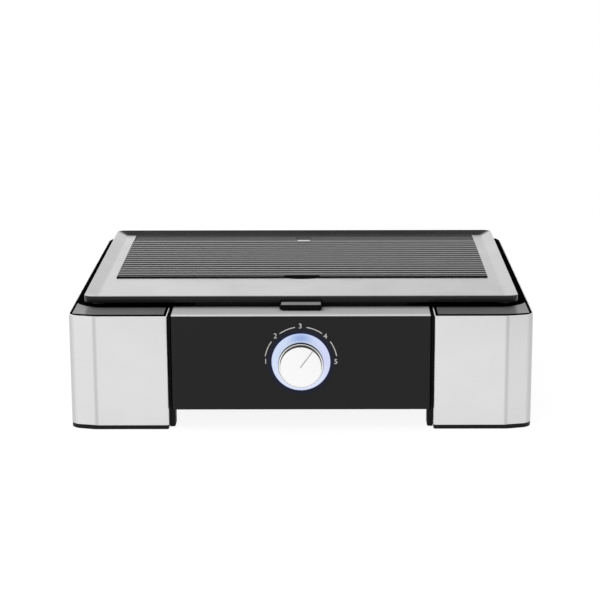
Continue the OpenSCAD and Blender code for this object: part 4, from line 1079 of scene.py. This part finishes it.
class GRILL_OT_stage(bpy.types.Operator):
    """Sets the floor, the studio light, the background and the camera"""
    bl_idname = "grill.stage"
    bl_label = "Studio"

    def execute(self, context):
        scene = context.scene
        scene.view_settings.view_transform = "Standard"
        half = 1.3
        mesh = bpy.data.meshes.new("floor")
        mesh.from_pydata([(-half, -half, 0), (half, -half, 0), (half, half, 0), (-half, half, 0)],
                         [], [(0, 1, 2, 3)])
        floor = show("floor", mesh)
        mesh.materials.append(floor_finish())
        scene.world = studio_world()
        for name, place, aim, size, power in (
                ("lamp_over", (0.0, -0.3, 2.2), (0, 0, 0), 2.4, 24),
                ("lamp_front", (-1.1, -2.4, 1.5), (0, 0, 0.05), 1.6, 14),
                ("lamp_left", (-2.3, 0.1, 1.3), (0, 0, 0.05), 1.6, 26)):
            add_lamp(name, place, aim, size, power)
        camera = bpy.data.cameras.new("camera")
        camera.lens = 110
        camera.sensor_width = 36
        camera.shift_x = -23.4 / IMAGE_PX
        camera.clip_end = 50
        holder = show("camera", camera)
        holder.location = (0.0233, -2.0132, 0.5788)
        holder.rotation_euler = [math.radians(turn) for turn in (90 - 13.584, 0.097, -0.023)]
        scene.camera = holder
        return {"FINISHED"}


def add_lamp(name, place, aim, size, power):
    """Square soft lamp that looks from place to aim."""
    lamp = bpy.data.lights.new(name, "AREA")
    lamp.size = size
    lamp.energy = power
    holder = show(name, lamp)
    holder.location = place
    look = Vector(np.array(aim, float) - place)
    holder.rotation_euler = look.to_track_quat("-Z", "Y").to_euler()
    holder.visible_glossy = False


def bare_tree(owner, output):
    """The owner's nodes, cleared but for an output node, and that node's surface socket."""
    owner.use_nodes = True
    owner.node_tree.nodes.clear()
    nodes = Nodes(owner.node_tree)
    return nodes, nodes.add(output).inputs["Surface"]


def floor_finish():
    """Pale floor: seen by the camera or in gloss it carries most of its white itself and keeps
    the object's shadow from the rest; to all other light it is a plain matt white."""
    material = bpy.data.materials.new("floor_white")
    n, surface = bare_tree(material, "ShaderNodeOutputMaterial")
    ray = n.add("ShaderNodeLightPath").outputs
    seen = n.math("MAXIMUM", ray["Is Camera Ray"], ray["Is Glossy Ray"])
    seen = n.math("MAXIMUM", seen, ray["Is Transmission Ray"])
    matt, thin = (n.add("ShaderNodeBsdfDiffuse", {"Color": (level, level, level, 1)}).outputs[0]
                  for level in (0.8, 0.14))
    own = n.add("ShaderNodeEmission", {"Strength": 0.90}).outputs[0]
    both = n.add("ShaderNodeAddShader", {0: thin, 1: own}).outputs[0]
    n.join(n.mix(seen, matt, both), surface)
    return material


def studio_world():
    """White for the camera; for gloss, white near the horizon, dark above it, lighter again
    overhead and a little darker at the right; an even soft grey for all other light."""
    world = bpy.data.worlds.new("studio")
    n, surface = bare_tree(world, "ShaderNodeOutputWorld")
    ray = n.add("ShaderNodeLightPath").outputs
    where = n.add("ShaderNodeTexCoord").outputs["Generated"]
    x, y, z = n.add("ShaderNodeSeparateXYZ", {"Vector": where}).outputs
    horizon = n.span(z, 0.30, 0.58, 1.0, 0.05, smooth=True)
    front = n.span(y, -0.6, 0.1, 0.16, 0.0)
    above = n.span(z, 0.84, 1.0, 0.0, 0.45)
    right = n.span(x, -0.14, 0.06, 1.10, 0.92)
    sheen = n.math("MAXIMUM", n.math("MAXIMUM", horizon, front), above)
    sheen = n.math("MULTIPLY", sheen, right)
    soft, gloss, white = (
        n.add("ShaderNodeBackground", {"Color": (1, 1, 1, 1), "Strength": strength}).outputs[0]
        for strength in (0.5, sheen, 1.0))
    clear = n.math("MAXIMUM", ray["Is Camera Ray"], ray["Is Transmission Ray"])
    n.join(n.mix(clear, n.mix(ray["Is Glossy Ray"], soft, gloss), white), surface)
    return world


class GRILL_PT_panel(bpy.types.Panel):
    """Lists the grill's pieces and sizes"""
    bl_idname = "GRILL_PT_panel"
    bl_label = "Table grill"
    bl_space_type = "VIEW_3D"
    bl_region_type = "UI"
    bl_category = "Grill"

    def draw(self, context):
        layout = self.layout
        for operator in OPERATORS:
            layout.operator(operator.bl_idname)
        for group in ("grill_steel", "grill_dial", "grill_colours"):
            values = getattr(context.scene, group)
            for key in values.bl_rna.properties.keys():
                if key not in ("rna_type", "name"):
                    layout.prop(values, key)


GROUPS = {"grill_steel": GrillSteel, "grill_dial": GrillDial, "grill_colours": GrillColours}
OPERATORS = (GRILL_OT_stage, GRILL_OT_steel_shells, GRILL_OT_plate, GRILL_OT_light_ring,
             GRILL_OT_knob, GRILL_OT_dial_marks, GRILL_OT_tray_grip, GRILL_OT_housing,
             GRILL_OT_inner_parts)


def register():
    for kind in (*GROUPS.values(), *OPERATORS, GRILL_PT_panel):
        bpy.utils.register_class(kind)
    for name, group in GROUPS.items():
        setattr(bpy.types.Scene, name, bpy.props.PointerProperty(type=group))


def unregister():
    for name in GROUPS:
        delattr(bpy.types.Scene, name)
    for kind in (GRILL_PT_panel, *OPERATORS[::-1], *list(GROUPS.values())[::-1]):
        bpy.utils.unregister_class(kind)


def main():
    register()
    for operator in OPERATORS:
        group, name = operator.bl_idname.split(".")
        getattr(getattr(bpy.ops, group), name)()


if __name__ == "__main__":
    main()
